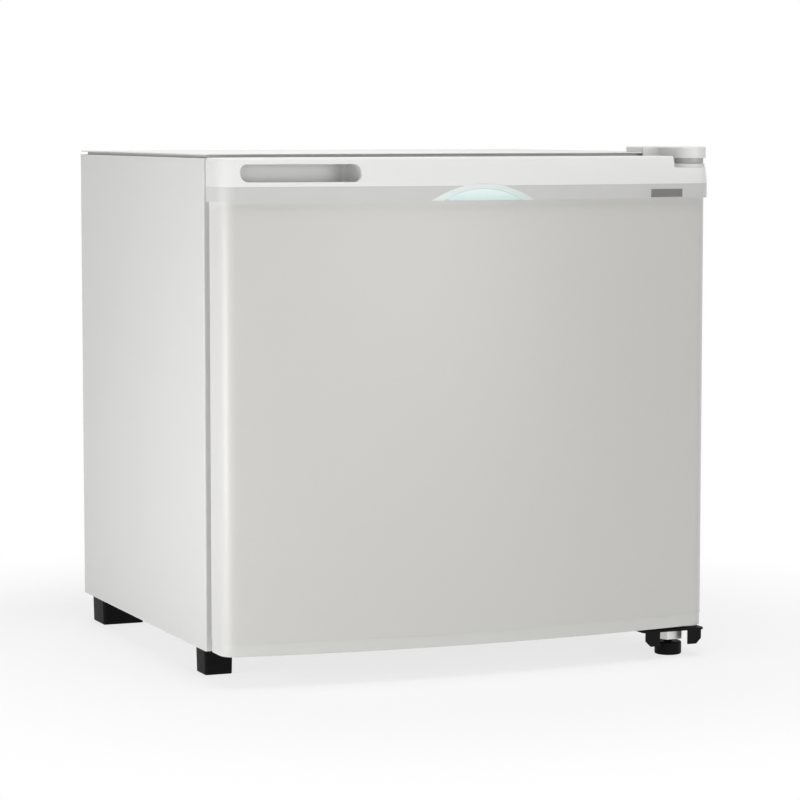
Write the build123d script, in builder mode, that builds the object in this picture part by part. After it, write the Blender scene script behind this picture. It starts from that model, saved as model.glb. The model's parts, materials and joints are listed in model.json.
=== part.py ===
"""Cube-sized mini fridge: insulated cabinet, bowed door, ice box and a compressor circuit at the back.

Millimetres. The front faces -Y, right is +X and up is +Z. The floor is Z = 0.
"""
import os
from math import sqrt

from build123d import *

os.makedirs("parts", exist_ok=True)

# Cabinet
cabinet_width = 472.0
cabinet_depth = 372.0
cabinet_height = 439.0
floor_clearance = 27.0
sheet = 0.8
side_wall = 40.0
top_wall = 44.0
back_wall = 45.0
bottom_wall = 42.0
rim_width = 26.0
rear_flange = 14.0
bend_radius = 2.0
worktop_plate = 1.0
worktop_gap = 2.6
worktop_rim_inset = 6.0
worktop_rim_wall = 1.2
worktop_corner = 4.0

# Inner liner and the rails of its shelf
liner_wall = 2.0
liner_corner = 8.0
liner_side_corner = 7.0
rail_reach = 9.0
rail_edge = 2.0
rail_height = 7.0
rail_setback = 16.0

# Compressor recess at the bottom of the back
recess_depth = 142.0
recess_height = 150.0
step_wall = 32.0

# Door
gasket_gap = 17.0
door_edge_depth = 32.5
door_bow = 20.5
door_corner = 15.0
door_skin = 1.0
door_return = 16.0
door_lift = 2.2
door_drop = 3.0
top_cap_height = 38.0
top_cap_band = 15.5
top_cap_overhang = 3.0
top_cap_slope = 6.5
top_cap_wall = 2.5
top_cap_edge = 3.0
bottom_cap_height = 11.0
bottom_cap_wall = 2.5
bottom_cap_step = 0.5

# Grip pocket in the top cap
grip_inset = 16.0
grip_length = 107.0
grip_roof = 5.5
grip_lip = 4.0
grip_back_margin = 13.0
grip_end = 12.0
grip_scoop = 6.0
grip_well = 11.0

# Arch badge on the cap's lower band
badge_width = 100.0
badge_rise = 15.0
badge_inner_width = 76.0
badge_inner_rise = 10.5
badge_proud = 0.8

# Door liner, gasket and racks
gasket_inset = 14.0
gasket_width = 18.0
gasket_end_inset = 18.0
gasket_waist = 3.5
gasket_play = 0.3
gasket_corner = 8.0
door_liner_lap = 2.0
ridge_side_play = 10.0
ridge_end_play = 13.0
ridge_width = 36.0
ridge_bar = 26.0
ridge_reach = 18.0
ridge_draft = 4.0
ridge_corner = 14.0
rack_depth = 70.0
rack_wall = 2.2
rack_corner = 8.0
rack_side_play = 1.0
lower_rack_height = 62.0
upper_rack_height = 46.0
upper_rack_lift = 30.0
lug_length = 30.0
lug_reach = 9.0
lug_height = 6.0

# Hinges
hinge_inset = 12.0
hinge_setback = 18.0
hinge_plate = 2.0
hinge_pin_radius = 4.0
hinge_pin_play = 0.05
hinge_pin_depth = 8.0
hinge_rest_play = 0.3
bush_radius = 8.0
bush_boss_radius = 10.5
bush_collar_radius = 14.0
bush_collar_height = 3.6
hinge_shoulder_radius = 12.8
hinge_nose_radius = 15.0
hinge_seat_drop = 13.5
hinge_seat_margin = 10.5
hinge_body_length = 46.0
hinge_body_ahead = 2.4
hinge_body_depth = 36.0
cover_height = 5.5
cover_wall = 1.6
cover_skirt = 5.0
cover_play = 0.4
screw_radius = 2.0
screw_head_radius = 4.0
screw_head = 1.6
screw_head_draft = 20.0
screw_spacing = 22.0
bottom_bracket_width = 63.0
bottom_bracket_side = 10.0
bottom_bracket_back = 44.0
bottom_bracket_flange = 13.0
bottom_bracket_flange_corner = 5.0
bottom_bracket_nose = 18.0
bottom_bracket_notch = 29.0
bottom_bracket_notch_shift = 7.0
bottom_screw_inset = 13.0

# Feet
front_foot_size = 27.0
front_foot_inset = 9.0
front_foot_setback = 28.0
rear_foot_width = 42.0
rear_foot_depth = 37.0
rear_foot_inset = 6.0
rear_foot_setback = 8.0
foot_corner = 3.0
foot_draft = 1.5
level_foot_offset = 14.0
level_foot_setback = 8.0
level_foot_radius = 12.5
level_foot_height = 12.0
level_nut_size = 26.0
level_nut_height = 10.0
level_stud_radius = 4.0
level_play = 0.05

# Ice box and its flap
ice_side_play = 15.0
ice_thermo_gap = 8.0
ice_height = 84.0
ice_setback = 106.0
ice_back_play = 16.0
ice_hang = 7.0
ice_wall = 1.5
ice_corner = 9.0
hanger_radius = 8.0
hanger_inset = 28.0
channel_radius = 2.4
channel_pitch = 44.0
channel_side_play = 2.0
channel_margin = 24.0
flap_thickness = 3.0
flap_rim = 4.0
flap_rim_wall = 2.0
flap_side_play = 1.0
flap_bottom_play = 3.0
flap_above_pin = 5.0
flap_pull_width = 64.0
flap_pull_reach = 9.0
flap_pull_height = 4.0
flap_ahead = 8.0
flap_pin_drop = 8.0
flap_pin_radius = 2.5
flap_pin_play = 0.05
ear_wall = 3.0
ear_height = 26.0
ear_top_play = 2.0
ear_nose = 6.0
ear_grip = 12.0

# Drip tray and its runners
tray_height = 18.0
tray_wall = 1.8
tray_drop = 6.0
tray_corner = 8.0
tray_side_play = 0.6
tray_lift = 0.3
tray_ahead = 4.0
tray_behind = 10.0
tray_pull = 10.0
runner_wall = 2.0
runner_foot = 9.0
runner_inset = 12.0

# Wire shelf
shelf_side_play = 3.0
shelf_setback = 68.0
shelf_back_play = 4.0
shelf_frame_radius = 2.5
shelf_wire_radius = 1.5
shelf_wire_count = 19
shelf_corner = 14.0
shelf_rest_play = 0.3

# Thermostat
thermo_width = 56.0
thermo_height = 56.0
thermo_depth = 84.0
thermo_wall = 2.0
thermo_side_play = 14.0
thermo_corner = 6.0
control_width = 34.0
control_height = 30.0
control_depth = 30.0
shaft_radius = 3.0
shaft_play = 0.05
shaft_hole_play = 0.5
shaft_reach = 14.0
knob_radius = 16.0
knob_height = 15.0
knob_gap = 0.6
knob_draft = 6.0
knob_rib_width = 5.0
knob_rib = 3.0
sensor_radius = 1.4
sensor_bend = 4.0
sensor_length = 90.0

# Compressor
shelf_plate = 1.5
shelf_lip = 26.0
pump_offset = -36.0
can_half_width = 66.0
can_half_depth = 57.0
can_height = 106.0
can_round = 26.0
can_wall = 3.0
can_seam_reach = 3.0
can_seam_height = 5.0
base_plate = 2.5
base_width = 158.0
base_depth = 112.0
base_corner = 12.0
bolt_inset = 12.0
grommet_radius = 11.0
grommet_waist_radius = 8.5
grommet_flange = 4.0
grommet_height = 12.0
bolt_radius = 3.0
bolt_play = 0.3
bolt_head_radius = 5.5
bolt_head = 4.0
pump_radius = 40.0
pump_height = 62.0
spring_radius = 8.0
spring_wall = 2.0
spring_height = 14.0
spring_circle = 20.0
relay_width = 26.0
relay_depth = 50.0
relay_height = 38.0
relay_lift = 10.0
relay_corner = 5.0

# Pipes and the cord gland
pipe_radius = 3.0
pipe_bend = 14.0
discharge_drop = 26.0
suction_drop = 32.0
suction_side = 12.0
suction_reach = 46.0
process_drop = 40.0
process_side = -16.0
process_reach = 44.0
drier_radius = 9.0
drier_length = 64.0
drier_neck = 10.0
capillary_radius = 1.2
capillary_bend = 8.0
capillary_sag = 20.0
gland_inset = 86.0
gland_radius = 9.0
gland_bore = 4.0
gland_flange_radius = 12.0
gland_flange = 2.0
gland_length = 14.0

# Condenser on the back panel
condenser_tube_radius = 2.4
condenser_wire_radius = 0.8
condenser_standoff = 12.0
condenser_side_margin = 40.0
condenser_top_margin = 34.0
condenser_bottom_margin = 27.0
condenser_passes = 7
condenser_bend_play = 1.0
condenser_wire_count = 27
condenser_wire_pitch = 14.0
condenser_wire_overhang = 10.0
condenser_riser_inset = 24.0
condenser_stub = 22.0
condenser_bracket_width = 9.0
condenser_bracket_foot = 16.0
condenser_bracket_wall = 1.5

# Levels and places worked out from the sizes above
half_width = cabinet_width / 2
cabinet_bottom = floor_clearance
cabinet_top = cabinet_bottom + cabinet_height
shell_top = cabinet_top - worktop_plate - worktop_gap
rear_reach = condenser_standoff + max(drier_radius, condenser_tube_radius + 2 * condenser_wire_radius)
front_reach = gasket_gap + door_edge_depth + door_bow + top_cap_overhang + badge_proud
overall_depth = front_reach + cabinet_depth + rear_reach
cabinet_front = front_reach - overall_depth / 2
cabinet_back = cabinet_front + cabinet_depth
panel_back = cabinet_back - sheet
inner_half = half_width - side_wall
inner_bottom = cabinet_bottom + bottom_wall
inner_top = cabinet_top - top_wall
inner_back = cabinet_back - back_wall
recess_front = cabinet_back - recess_depth
recess_top = cabinet_bottom + recess_height
step_front = recess_front - step_wall
step_top = recess_top + step_wall
shelf_level = step_top + liner_side_corner + rail_height
door_back = cabinet_front - gasket_gap
door_bottom = cabinet_bottom + door_lift
door_top = cabinet_top - door_drop
seam = door_top - top_cap_height
band_top = seam + top_cap_band
panel_bottom = door_bottom + bottom_cap_height
panel_height = seam - panel_bottom
bow_radius = (half_width**2 + door_bow**2) / (2 * door_bow)
bow_centre = door_back - door_edge_depth - door_bow + bow_radius
door_front = bow_centre - bow_radius
grip_left = grip_inset - half_width
grip_back = door_back - grip_back_margin
hinge_x = half_width - hinge_inset
hinge_y = door_back - hinge_setback
hinge_seat = cabinet_top - hinge_seat_drop
hinge_seat_left = hinge_x - hinge_nose_radius - hinge_seat_margin
bush_flange = door_lift - hinge_rest_play
bracket_bottom = cabinet_bottom - hinge_plate
bracket_front = hinge_y - bottom_bracket_nose
bracket_right = hinge_x + bottom_bracket_side
bracket_left = bracket_right - bottom_bracket_width
level_foot_x = hinge_x - level_foot_offset
level_foot_y = hinge_y + level_foot_setback
liner_back = door_back + liner_wall
gasket_half = half_width - gasket_inset
gasket_bottom = cabinet_bottom + gasket_end_inset
gasket_top = shell_top - gasket_end_inset
ridge_half = inner_half - ridge_side_play
ridge_inner_half = ridge_half - ridge_width
ridge_bottom = inner_bottom + ridge_end_play
ridge_top = inner_top - ridge_end_play
ridge_crest = cabinet_front + ridge_reach
lower_rack_level = ridge_bottom + ridge_bar + lug_height
upper_rack_level = shelf_level + upper_rack_lift
thermo_right = inner_half - thermo_side_play
ice_left = ice_side_play - inner_half
ice_right = thermo_right - thermo_width - ice_thermo_gap
ice_front = cabinet_front + ice_setback
ice_back = inner_back - ice_back_play
ice_width = ice_right - ice_left
ice_depth = ice_back - ice_front
ice_top = inner_top - ice_hang
ice_bottom = ice_top - ice_height
ice_middle = (ice_left + ice_right) / 2
channel_side = runner_inset + runner_foot + channel_side_play + channel_radius
channel_passes = int((ice_width - 2 * channel_side) / channel_pitch) + 1
flap_axis_y = ice_front - flap_ahead
flap_axis_z = ice_top - flap_pin_drop
flap_bottom = ice_bottom + flap_bottom_play
tray_floor = ice_bottom - tray_drop - tray_height
tray_left = ice_left + runner_inset + runner_wall + tray_side_play
tray_right = ice_right - runner_inset - runner_wall - tray_side_play
tray_front = ice_front - tray_ahead
shelf_half = inner_half - shelf_side_play - shelf_frame_radius
shelf_front = cabinet_front + shelf_setback + shelf_frame_radius
shelf_rear = inner_back - shelf_back_play - shelf_frame_radius
shelf_height = shelf_level + shelf_rest_play + shelf_frame_radius
thermo_x = thermo_right - thermo_width / 2
thermo_z = inner_top - thermo_height / 2
plate_top = cabinet_bottom + shelf_plate
pump_y = (recess_front + cabinet_back) / 2
base_bottom = plate_top + grommet_height
can_bottom = base_bottom + base_plate
can_top = can_bottom + can_height
bolt_spacing_x = base_width - 2 * bolt_inset
bolt_spacing_y = base_depth - 2 * bolt_inset
condenser_y = cabinet_back + condenser_standoff
condenser_half = half_width - condenser_side_margin
condenser_riser = half_width - condenser_riser_inset
condenser_bottom = recess_top + condenser_bottom_margin
condenser_top = shell_top - condenser_top_margin
condenser_pitch = (condenser_top - condenser_bottom) / (condenser_passes - 1)
condenser_bend = min(condenser_pitch / 2, condenser_stub) - condenser_bend_play
stub_end = condenser_bottom - condenser_stub
drier_bottom = stub_end - 2 * drier_neck - drier_length


def facing_front(y):
    """Sketch plane at depth y: right is +X, up is +Z, and its normal points to the front."""
    return Plane.XZ.offset(-y)


def facing_right(x):
    """Sketch plane at x: right is +Y, up is +Z, and its normal points to the right."""
    return Plane.YZ.offset(x)


def level(z):
    """Sketch plane at height z, seen from above."""
    return Plane.XY.offset(z)


def area(low, high, radius=0.0, mode=Mode.ADD):
    """Rectangle between two corners of the sketch, with rounded corners if a radius is given."""
    width = high[0] - low[0]
    height = high[1] - low[1]
    with Locations(((low[0] + high[0]) / 2, (low[1] + high[1]) / 2)):
        if radius > 0:
            RectangleRounded(width, height, radius, mode=mode)
        else:
            Rectangle(width, height, mode=mode)


def door_profile(z, inset, back, slope=0.0):
    """Plan of the door at height z: a bowed front, drawn in by an inset and moved back by a slope."""
    half = half_width - inset
    radius = bow_radius - inset
    centre = bow_centre + slope
    end = centre - sqrt(radius**2 - half**2)
    with BuildSketch(level(z)) as plan:
        with BuildLine():
            Polyline((-half, end), (-half, back), (half, back), (half, end))
            ThreePointArc((half, end), (0, centre - radius), (-half, end))
        make_face()
        fillet(plan.vertices().group_by(Axis.Y)[0], door_corner - inset)
    return plan.sketch


def pipe_along(points, radius, bend):
    """Round wire or pipe swept along straight runs with rounded bends."""
    with BuildLine() as route:
        FilletPolyline(*points, radius=bend)
    with BuildSketch(Plane(origin=route.line @ 0, z_dir=route.line % 0)) as section:
        Circle(radius)
    sweep(section.sketch, path=route.line)


def save(piece, name):
    """Label a finished piece and write its STEP file."""
    piece.part.label = name
    export_step(piece.part, f"parts/{name}.step")


# Side panels: folded sheets with a front rim for the gasket and a rear flange for the back panel.
with BuildPart() as side_panel_left:
    with BuildSketch(level(cabinet_bottom)) as plan:
        area((-half_width, cabinet_front), (rim_width - half_width, cabinet_back))
        area(
            (sheet - half_width, cabinet_front + sheet),
            (rim_width - half_width, panel_back),
            mode=Mode.SUBTRACT,
        )
        area(
            (rear_flange - half_width, panel_back),
            (rim_width - half_width, cabinet_back),
            mode=Mode.SUBTRACT,
        )
        fillet(plan.vertices().group_by(Axis.X)[0], bend_radius)
    extrude(amount=shell_top - cabinet_bottom)

with BuildPart() as side_panel_right:
    add(side_panel_left.part)
    mirror(about=Plane.YZ, mode=Mode.REPLACE)

save(side_panel_left, "side_panel_left")
save(side_panel_right, "side_panel_right")

# Top sheet between the side panels, with the upper part of the front rim folded down.
with BuildPart() as top_sheet:
    with BuildSketch(facing_right(sheet - half_width)):
        area((cabinet_front + sheet, shell_top - sheet), (panel_back, shell_top))
    extrude(amount=cabinet_width - 2 * sheet)
    with BuildSketch(facing_right(rim_width - half_width)):
        area((cabinet_front, shell_top - rim_width), (cabinet_front + sheet, shell_top))
    extrude(amount=cabinet_width - 2 * rim_width)

save(top_sheet, "top_sheet")

# Worktop: a thin plate carried on an inset rim, which leaves a dark gap round its edge.
with BuildPart() as worktop:
    with BuildSketch(level(cabinet_top - worktop_plate)):
        area((-half_width, cabinet_front), (half_width, cabinet_back), worktop_corner)
    extrude(amount=worktop_plate)
    fillet(worktop.faces().sort_by(Axis.Z)[-1].edges(), worktop_plate / 2)
    with BuildSketch(level(shell_top)):
        for inset, mode in (
            (worktop_rim_inset, Mode.ADD),
            (worktop_rim_inset + worktop_rim_wall, Mode.SUBTRACT),
        ):
            area(
                (inset - half_width, cabinet_front + inset),
                (half_width - inset, cabinet_back - inset),
                mode=mode,
            )
    extrude(amount=worktop_gap)

save(worktop, "worktop")

# Base pan under the front of the cabinet, with the lower part of the front rim folded up.
with BuildPart() as base_pan:
    with BuildSketch(facing_right(sheet - half_width)):
        area(
            (cabinet_front + sheet, cabinet_bottom),
            (recess_front - sheet, cabinet_bottom + sheet),
        )
    extrude(amount=cabinet_width - 2 * sheet)
    with BuildSketch(facing_right(rim_width - half_width)):
        area((cabinet_front, cabinet_bottom), (cabinet_front + sheet, cabinet_bottom + rim_width))
    extrude(amount=cabinet_width - 2 * rim_width)

save(base_pan, "base_pan")

# Recess panel: the folded sheet between the insulation and the compressor.
with BuildPart() as recess_panel:
    with BuildSketch(facing_right(sheet - half_width)):
        area((recess_front - sheet, cabinet_bottom), (recess_front, recess_top + sheet))
        area((recess_front, recess_top), (panel_back - sheet, recess_top + sheet))
    extrude(amount=cabinet_width - 2 * sheet)

save(recess_panel, "recess_panel")

# Back panel inside the rear flanges, closing the insulation above the recess.
with BuildPart() as back_panel:
    with BuildSketch(facing_front(panel_back)):
        area((sheet - half_width, recess_top), (half_width - sheet, shell_top - sheet))
    extrude(amount=sheet)

save(back_panel, "back_panel")


def cavity(grow):
    """Stepped cold space of the cabinet with rounded corners, grown outwards by a wall."""
    with BuildPart() as space:
        with BuildSketch(facing_right(-inner_half - grow)) as profile:
            with BuildLine():
                Polyline(
                    (cabinet_front, inner_bottom - grow),
                    (step_front + grow, inner_bottom - grow),
                    (step_front + grow, step_top - grow),
                    (inner_back + grow, step_top - grow),
                    (inner_back + grow, inner_top + grow),
                    (cabinet_front, inner_top + grow),
                    close=True,
                )
            make_face()
            corners = profile.vertices().filter_by(lambda v: v.X > cabinet_front + 1)
            corner = corners.sort_by_distance((step_front + grow, step_top - grow))[0]
            fillet(corners - [corner], liner_corner + grow)
            fillet(profile.vertices().sort_by_distance(corner)[0], liner_corner - grow)
        extrude(amount=2 * (inner_half + grow))
        ends = space.faces().filter_by(Axis.X).edges()
        fillet(ends.filter_by(lambda e: e.center().Y > cabinet_front + 1), liner_side_corner + grow)
    return space.part


cold_space = cavity(0)
liner_space = cavity(liner_wall)

# Inner liner: one formed shell with a front flange.
with BuildPart() as inner_liner:
    add(liner_space)
    with BuildSketch(facing_front(cabinet_front)):
        area(
            (rim_width - half_width, cabinet_bottom + rim_width),
            (half_width - rim_width, shell_top - rim_width),
        )
    extrude(amount=-liner_wall)
    add(cold_space, mode=Mode.SUBTRACT)

save(inner_liner, "inner_liner")

# Shelf rails: a wedge-shaped rail fixed to each side wall of the liner.
with BuildPart() as shelf_rails:
    with BuildSketch(facing_front(cabinet_front + rail_setback)):
        for side in (-1, 1):
            with BuildLine():
                Polyline(
                    (side * inner_half, shelf_level),
                    (side * (inner_half - rail_reach), shelf_level),
                    (side * (inner_half - rail_reach), shelf_level - rail_edge),
                    (side * inner_half, shelf_level - rail_height),
                    close=True,
                )
            make_face()
    extrude(amount=cabinet_front + 2 * rail_setback - inner_back)

save(shelf_rails, "shelf_rails")

# Insulation between the sheets and the liner.
with BuildPart() as cabinet_foam:
    with BuildSketch(facing_right(sheet - half_width)):
        with BuildLine():
            Polyline(
                (cabinet_front + sheet, cabinet_bottom + sheet),
                (recess_front - sheet, cabinet_bottom + sheet),
                (recess_front - sheet, recess_top + sheet),
                (panel_back - sheet, recess_top + sheet),
                (panel_back - sheet, shell_top - sheet),
                (cabinet_front + sheet, shell_top - sheet),
                close=True,
            )
        make_face()
    extrude(amount=cabinet_width - 2 * sheet)
    add(liner_space, mode=Mode.SUBTRACT)
    with BuildSketch(facing_front(cabinet_front)):
        area(
            (rim_width - half_width, cabinet_bottom + rim_width),
            (half_width - rim_width, shell_top - rim_width),
        )
    extrude(amount=-liner_wall, mode=Mode.SUBTRACT)

save(cabinet_foam, "cabinet_foam")

# Door panel: a bowed steel skin with its edges returned at the back.
with BuildPart() as door_panel:
    extrude(door_profile(panel_bottom, 0, door_back), amount=panel_height)
    inside = door_profile(panel_bottom, door_skin, door_back - door_skin)
    extrude(inside, amount=panel_height, mode=Mode.SUBTRACT)
    with BuildSketch(facing_front(door_back)):
        area((door_return - half_width, panel_bottom), (half_width - door_return, seam))
    extrude(amount=door_skin, mode=Mode.SUBTRACT)

save(door_panel, "door_panel")

# Door insulation inside the skin, flush with the returned edges.
with BuildPart() as door_foam:
    extrude(door_profile(panel_bottom, door_skin, door_back - door_skin), amount=panel_height)
    with BuildSketch(facing_front(door_back)):
        area((door_return - half_width, panel_bottom), (half_width - door_return, seam))
    extrude(amount=door_skin)

save(door_foam, "door_foam")


def cap_block(inset, bottom, top, back):
    """Solid of the top cap: an upright band and, above it, a front that slopes back."""
    with BuildPart() as block:
        extrude(door_profile(bottom, inset, back), amount=band_top - bottom)
        upper = door_profile(top, inset, back, top_cap_slope)
        loft((door_profile(band_top, inset, back), upper), ruled=True)
    return block.part


def grip_space(margin):
    """Finger pocket: a slot with a deeper floor behind the lip at its front, grown by a margin."""
    left = grip_left - margin
    right = grip_left + grip_length + margin
    floor = band_top - grip_well - margin
    back = grip_back + margin
    ahead = 2 * door_front - door_back
    with BuildSketch(level(floor)) as lip:
        area((left, ahead), (right, door_back))
        add(door_profile(floor, grip_lip - top_cap_overhang - margin, door_back), mode=Mode.SUBTRACT)
    with BuildPart() as pocket:
        with BuildSketch(facing_front(back)) as outline:
            area((left, floor), (right, door_top - grip_roof + margin))
            fillet(outline.vertices().group_by(Axis.Y)[0], grip_end + margin)
        extrude(amount=back - ahead)
        rear_edges = pocket.faces().sort_by(Axis.Y)[-1].edges()
        fillet(rear_edges.sort_by(Axis.Z)[:-1], grip_scoop + margin)
        extrude(lip.sketch, amount=grip_well, mode=Mode.SUBTRACT)
    return pocket.part


cap_outside = cap_block(-top_cap_overhang, seam, door_top, door_back)
cap_inside = cap_block(
    top_cap_wall - top_cap_overhang, seam + top_cap_wall, door_top - top_cap_wall, door_back - top_cap_wall
)
grip_pocket = grip_space(0)
grip_walls = grip_space(top_cap_wall)

# Hollow of the top cap: clear of the grip pocket, the hinge seat and the bush boss.
with BuildPart() as cap_hollow:
    add(cap_inside)
    add(grip_walls, mode=Mode.SUBTRACT)
    with BuildSketch(level(hinge_seat - top_cap_wall)):
        area((hinge_seat_left - top_cap_wall, 2 * door_front), (cabinet_width, cabinet_back))
    extrude(amount=hinge_seat_drop + top_cap_wall, mode=Mode.SUBTRACT)
    with BuildSketch(level(seam)):
        with Locations((hinge_x, hinge_y)):
            Circle(bush_boss_radius)
    extrude(amount=top_cap_height, mode=Mode.SUBTRACT)

# Top cap: moulded shell with the grip pocket, a lowered hinge seat and an opening for the foam below.
with BuildPart() as door_top_cap:
    add(cap_outside)
    top_edges = door_top_cap.faces().sort_by(Axis.Z)[-1].edges()
    fillet(top_edges.filter_by(lambda e: e.center().Y < door_back - 1), top_cap_edge)
    add(cap_hollow.part, mode=Mode.SUBTRACT)
    add(grip_pocket, mode=Mode.SUBTRACT)
    with BuildSketch(level(hinge_seat)):
        area((hinge_seat_left, 2 * door_front), (cabinet_width, cabinet_back))
    extrude(amount=hinge_seat_drop, mode=Mode.SUBTRACT)
    with BuildSketch(level(hinge_seat - hinge_pin_depth)):
        with Locations((hinge_x, hinge_y)):
            Circle(bush_radius)
    extrude(amount=hinge_pin_depth, mode=Mode.SUBTRACT)
    with BuildSketch(level(seam)):
        area(
            (grip_left + grip_length, door_back - door_edge_depth),
            (hinge_seat_left - bush_boss_radius, door_back - door_corner),
            top_cap_edge,
        )
    extrude(amount=top_cap_wall, mode=Mode.SUBTRACT)

save(door_top_cap, "door_top_cap")

# Bottom cap: a shallow moulded tray that closes the panel and holds the lower bush.
with BuildPart() as door_bottom_cap:
    extrude(door_profile(door_bottom, bottom_cap_step, door_back), amount=bottom_cap_height)
    inside = door_profile(
        door_bottom + bottom_cap_wall, bottom_cap_step + bottom_cap_wall, door_back - bottom_cap_wall
    )
    extrude(inside, amount=bottom_cap_height - bottom_cap_wall, mode=Mode.SUBTRACT)
    with BuildSketch(level(door_bottom)):
        with Locations((hinge_x, hinge_y)):
            Circle(bush_boss_radius)
    extrude(amount=bottom_cap_height)
    with BuildSketch(level(door_bottom)):
        with Locations((hinge_x, hinge_y)):
            Circle(bush_radius)
    extrude(amount=hinge_pin_depth, mode=Mode.SUBTRACT)

save(door_bottom_cap, "door_bottom_cap")


def badge_layer(width, rise):
    """Arch that lies on the cap's bowed band: a circular segment cut from a thin bowed sheet."""
    with BuildPart() as layer:
        extrude(door_profile(seam, -top_cap_overhang - badge_proud, door_back), amount=top_cap_band)
        extrude(door_profile(seam, -top_cap_overhang, door_back), amount=top_cap_band, mode=Mode.SUBTRACT)
        with BuildSketch(facing_front(door_back - door_edge_depth)):
            with BuildLine():
                arch = ThreePointArc((-width / 2, seam), (0, seam + rise), (width / 2, seam))
                Line(arch @ 1, arch @ 0)
            make_face()
        extrude(amount=2 * door_edge_depth, mode=Mode.INTERSECT)
    return layer.part


arch_outer = badge_layer(badge_width, badge_rise)
arch_inner = badge_layer(badge_inner_width, badge_inner_rise)

# Badge: a plain arch with an inlay of another colour.
with BuildPart() as badge_rim:
    add(arch_outer)
    add(arch_inner, mode=Mode.SUBTRACT)

with BuildPart() as badge_inlay:
    add(arch_inner)

save(badge_rim, "badge_rim")
save(badge_inlay, "badge_inlay")

# Door liner: a formed sheet with a hollow ridge round the rack space.
ridge_height = ridge_crest - liner_back
with BuildPart() as door_liner:
    with BuildSketch(facing_front(liner_back)):
        area(
            (-gasket_half - door_liner_lap, gasket_bottom - door_liner_lap),
            (gasket_half + door_liner_lap, gasket_top + door_liner_lap),
            gasket_corner,
        )
    extrude(amount=liner_wall)
    with BuildSketch(facing_front(liner_back)):
        area((-ridge_half, ridge_bottom), (ridge_half, ridge_top), ridge_corner)
    extrude(amount=-ridge_height, taper=ridge_draft)
    with BuildSketch(facing_front(door_back)):
        area(
            (liner_wall - ridge_half, ridge_bottom + liner_wall),
            (ridge_half - liner_wall, ridge_top - liner_wall),
            ridge_corner - liner_wall,
        )
    extrude(amount=-ridge_height, taper=ridge_draft, mode=Mode.SUBTRACT)
    with BuildSketch(facing_front(door_back)):
        area(
            (-ridge_inner_half - liner_wall, ridge_bottom + ridge_bar - liner_wall),
            (ridge_inner_half + liner_wall, ridge_top - ridge_bar + liner_wall),
            ridge_corner + liner_wall,
        )
    extrude(amount=-ridge_height - liner_wall, taper=-ridge_draft)
    with BuildSketch(facing_front(liner_back)):
        area(
            (-ridge_inner_half, ridge_bottom + ridge_bar),
            (ridge_inner_half, ridge_top - ridge_bar),
            ridge_corner,
        )
    extrude(amount=-ridge_height, taper=-ridge_draft, mode=Mode.SUBTRACT)

save(door_liner, "door_liner")

# Rack lugs: a block under each end of a rack, fixed to the liner's flat back.
with BuildPart() as rack_lugs:
    with BuildSketch(facing_front(liner_back)):
        for side in (-1, 1):
            for height in (lower_rack_level, upper_rack_level):
                with Locations((side * (ridge_inner_half - ridge_corner), height)):
                    Rectangle(
                        lug_reach,
                        lug_height,
                        align=(Align.MAX if side > 0 else Align.MIN, Align.MAX),
                    )
    extrude(amount=-lug_length)

save(rack_lugs, "rack_lugs")


def rack(floor, height):
    """Open-topped door bin with rounded corners, standing on the liner's lugs."""
    half = ridge_inner_half - rack_side_play
    front = liner_back + rack_depth
    with BuildPart() as bin_part:
        with BuildSketch(level(floor)):
            area((-half, liner_back), (half, front), rack_corner)
        extrude(amount=height)
        with BuildSketch(level(floor + rack_wall)):
            area(
                (rack_wall - half, liner_back + rack_wall),
                (half - rack_wall, front - rack_wall),
                rack_corner - rack_wall,
            )
        extrude(amount=height - rack_wall, mode=Mode.SUBTRACT)
        fillet(bin_part.faces().sort_by(Axis.Z)[0].edges(), rack_wall)
        fillet(bin_part.faces().sort_by(Axis.Z)[-1].edges(), rack_wall / 3)
    return bin_part


lower_rack = rack(lower_rack_level, lower_rack_height)
upper_rack = rack(upper_rack_level, upper_rack_height)
save(lower_rack, "lower_rack")
save(upper_rack, "upper_rack")


def frame(outer, inner, radius=0.0):
    """Gasket-shaped frame in the sketch between two insets from the gasket's outer edge."""
    area(
        (outer - gasket_half, gasket_bottom + outer),
        (gasket_half - outer, gasket_top - outer),
        radius,
    )
    area(
        (inner - gasket_half, gasket_bottom + inner),
        (gasket_half - inner, gasket_top - inner),
        mode=Mode.SUBTRACT,
    )


# Gasket: a foot on the door, a narrow bellows and the magnet bulb that meets the cabinet rim.
gasket_depth = gasket_gap - liner_wall - gasket_play
with BuildPart() as door_gasket:
    with BuildSketch(facing_front(liner_back)):
        frame(0, gasket_width, gasket_corner)
    extrude(amount=-gasket_depth)
    with BuildSketch(facing_front(liner_back + gasket_depth / 3)):
        frame(0, gasket_waist)
    extrude(amount=-gasket_depth / 3, mode=Mode.SUBTRACT)
    with BuildSketch(facing_front(liner_back + gasket_depth / 3)):
        frame(gasket_width - gasket_waist, gasket_width)
    extrude(amount=-gasket_depth / 3, mode=Mode.SUBTRACT)

save(door_gasket, "door_gasket")

# Hinge bushes: a collar outside the cap and a sleeve in its boss, one at each end of the door.
with BuildPart() as hinge_bushes:
    for seat, collar_radius, collar, outwards in (
        (hinge_seat, bush_collar_radius, bush_collar_height, 1),
        (door_bottom, bush_boss_radius, bush_flange, -1),
    ):
        with BuildSketch(level(seat)):
            with Locations((hinge_x, hinge_y)):
                Circle(bush_radius)
                Circle(hinge_pin_radius + hinge_pin_play, mode=Mode.SUBTRACT)
        extrude(amount=-outwards * hinge_pin_depth)
        with BuildSketch(level(seat)):
            with Locations((hinge_x, hinge_y)):
                Circle(collar_radius)
                Circle(hinge_pin_radius + hinge_pin_play, mode=Mode.SUBTRACT)
        extrude(amount=outwards * collar)

save(hinge_bushes, "hinge_bushes")


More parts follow.
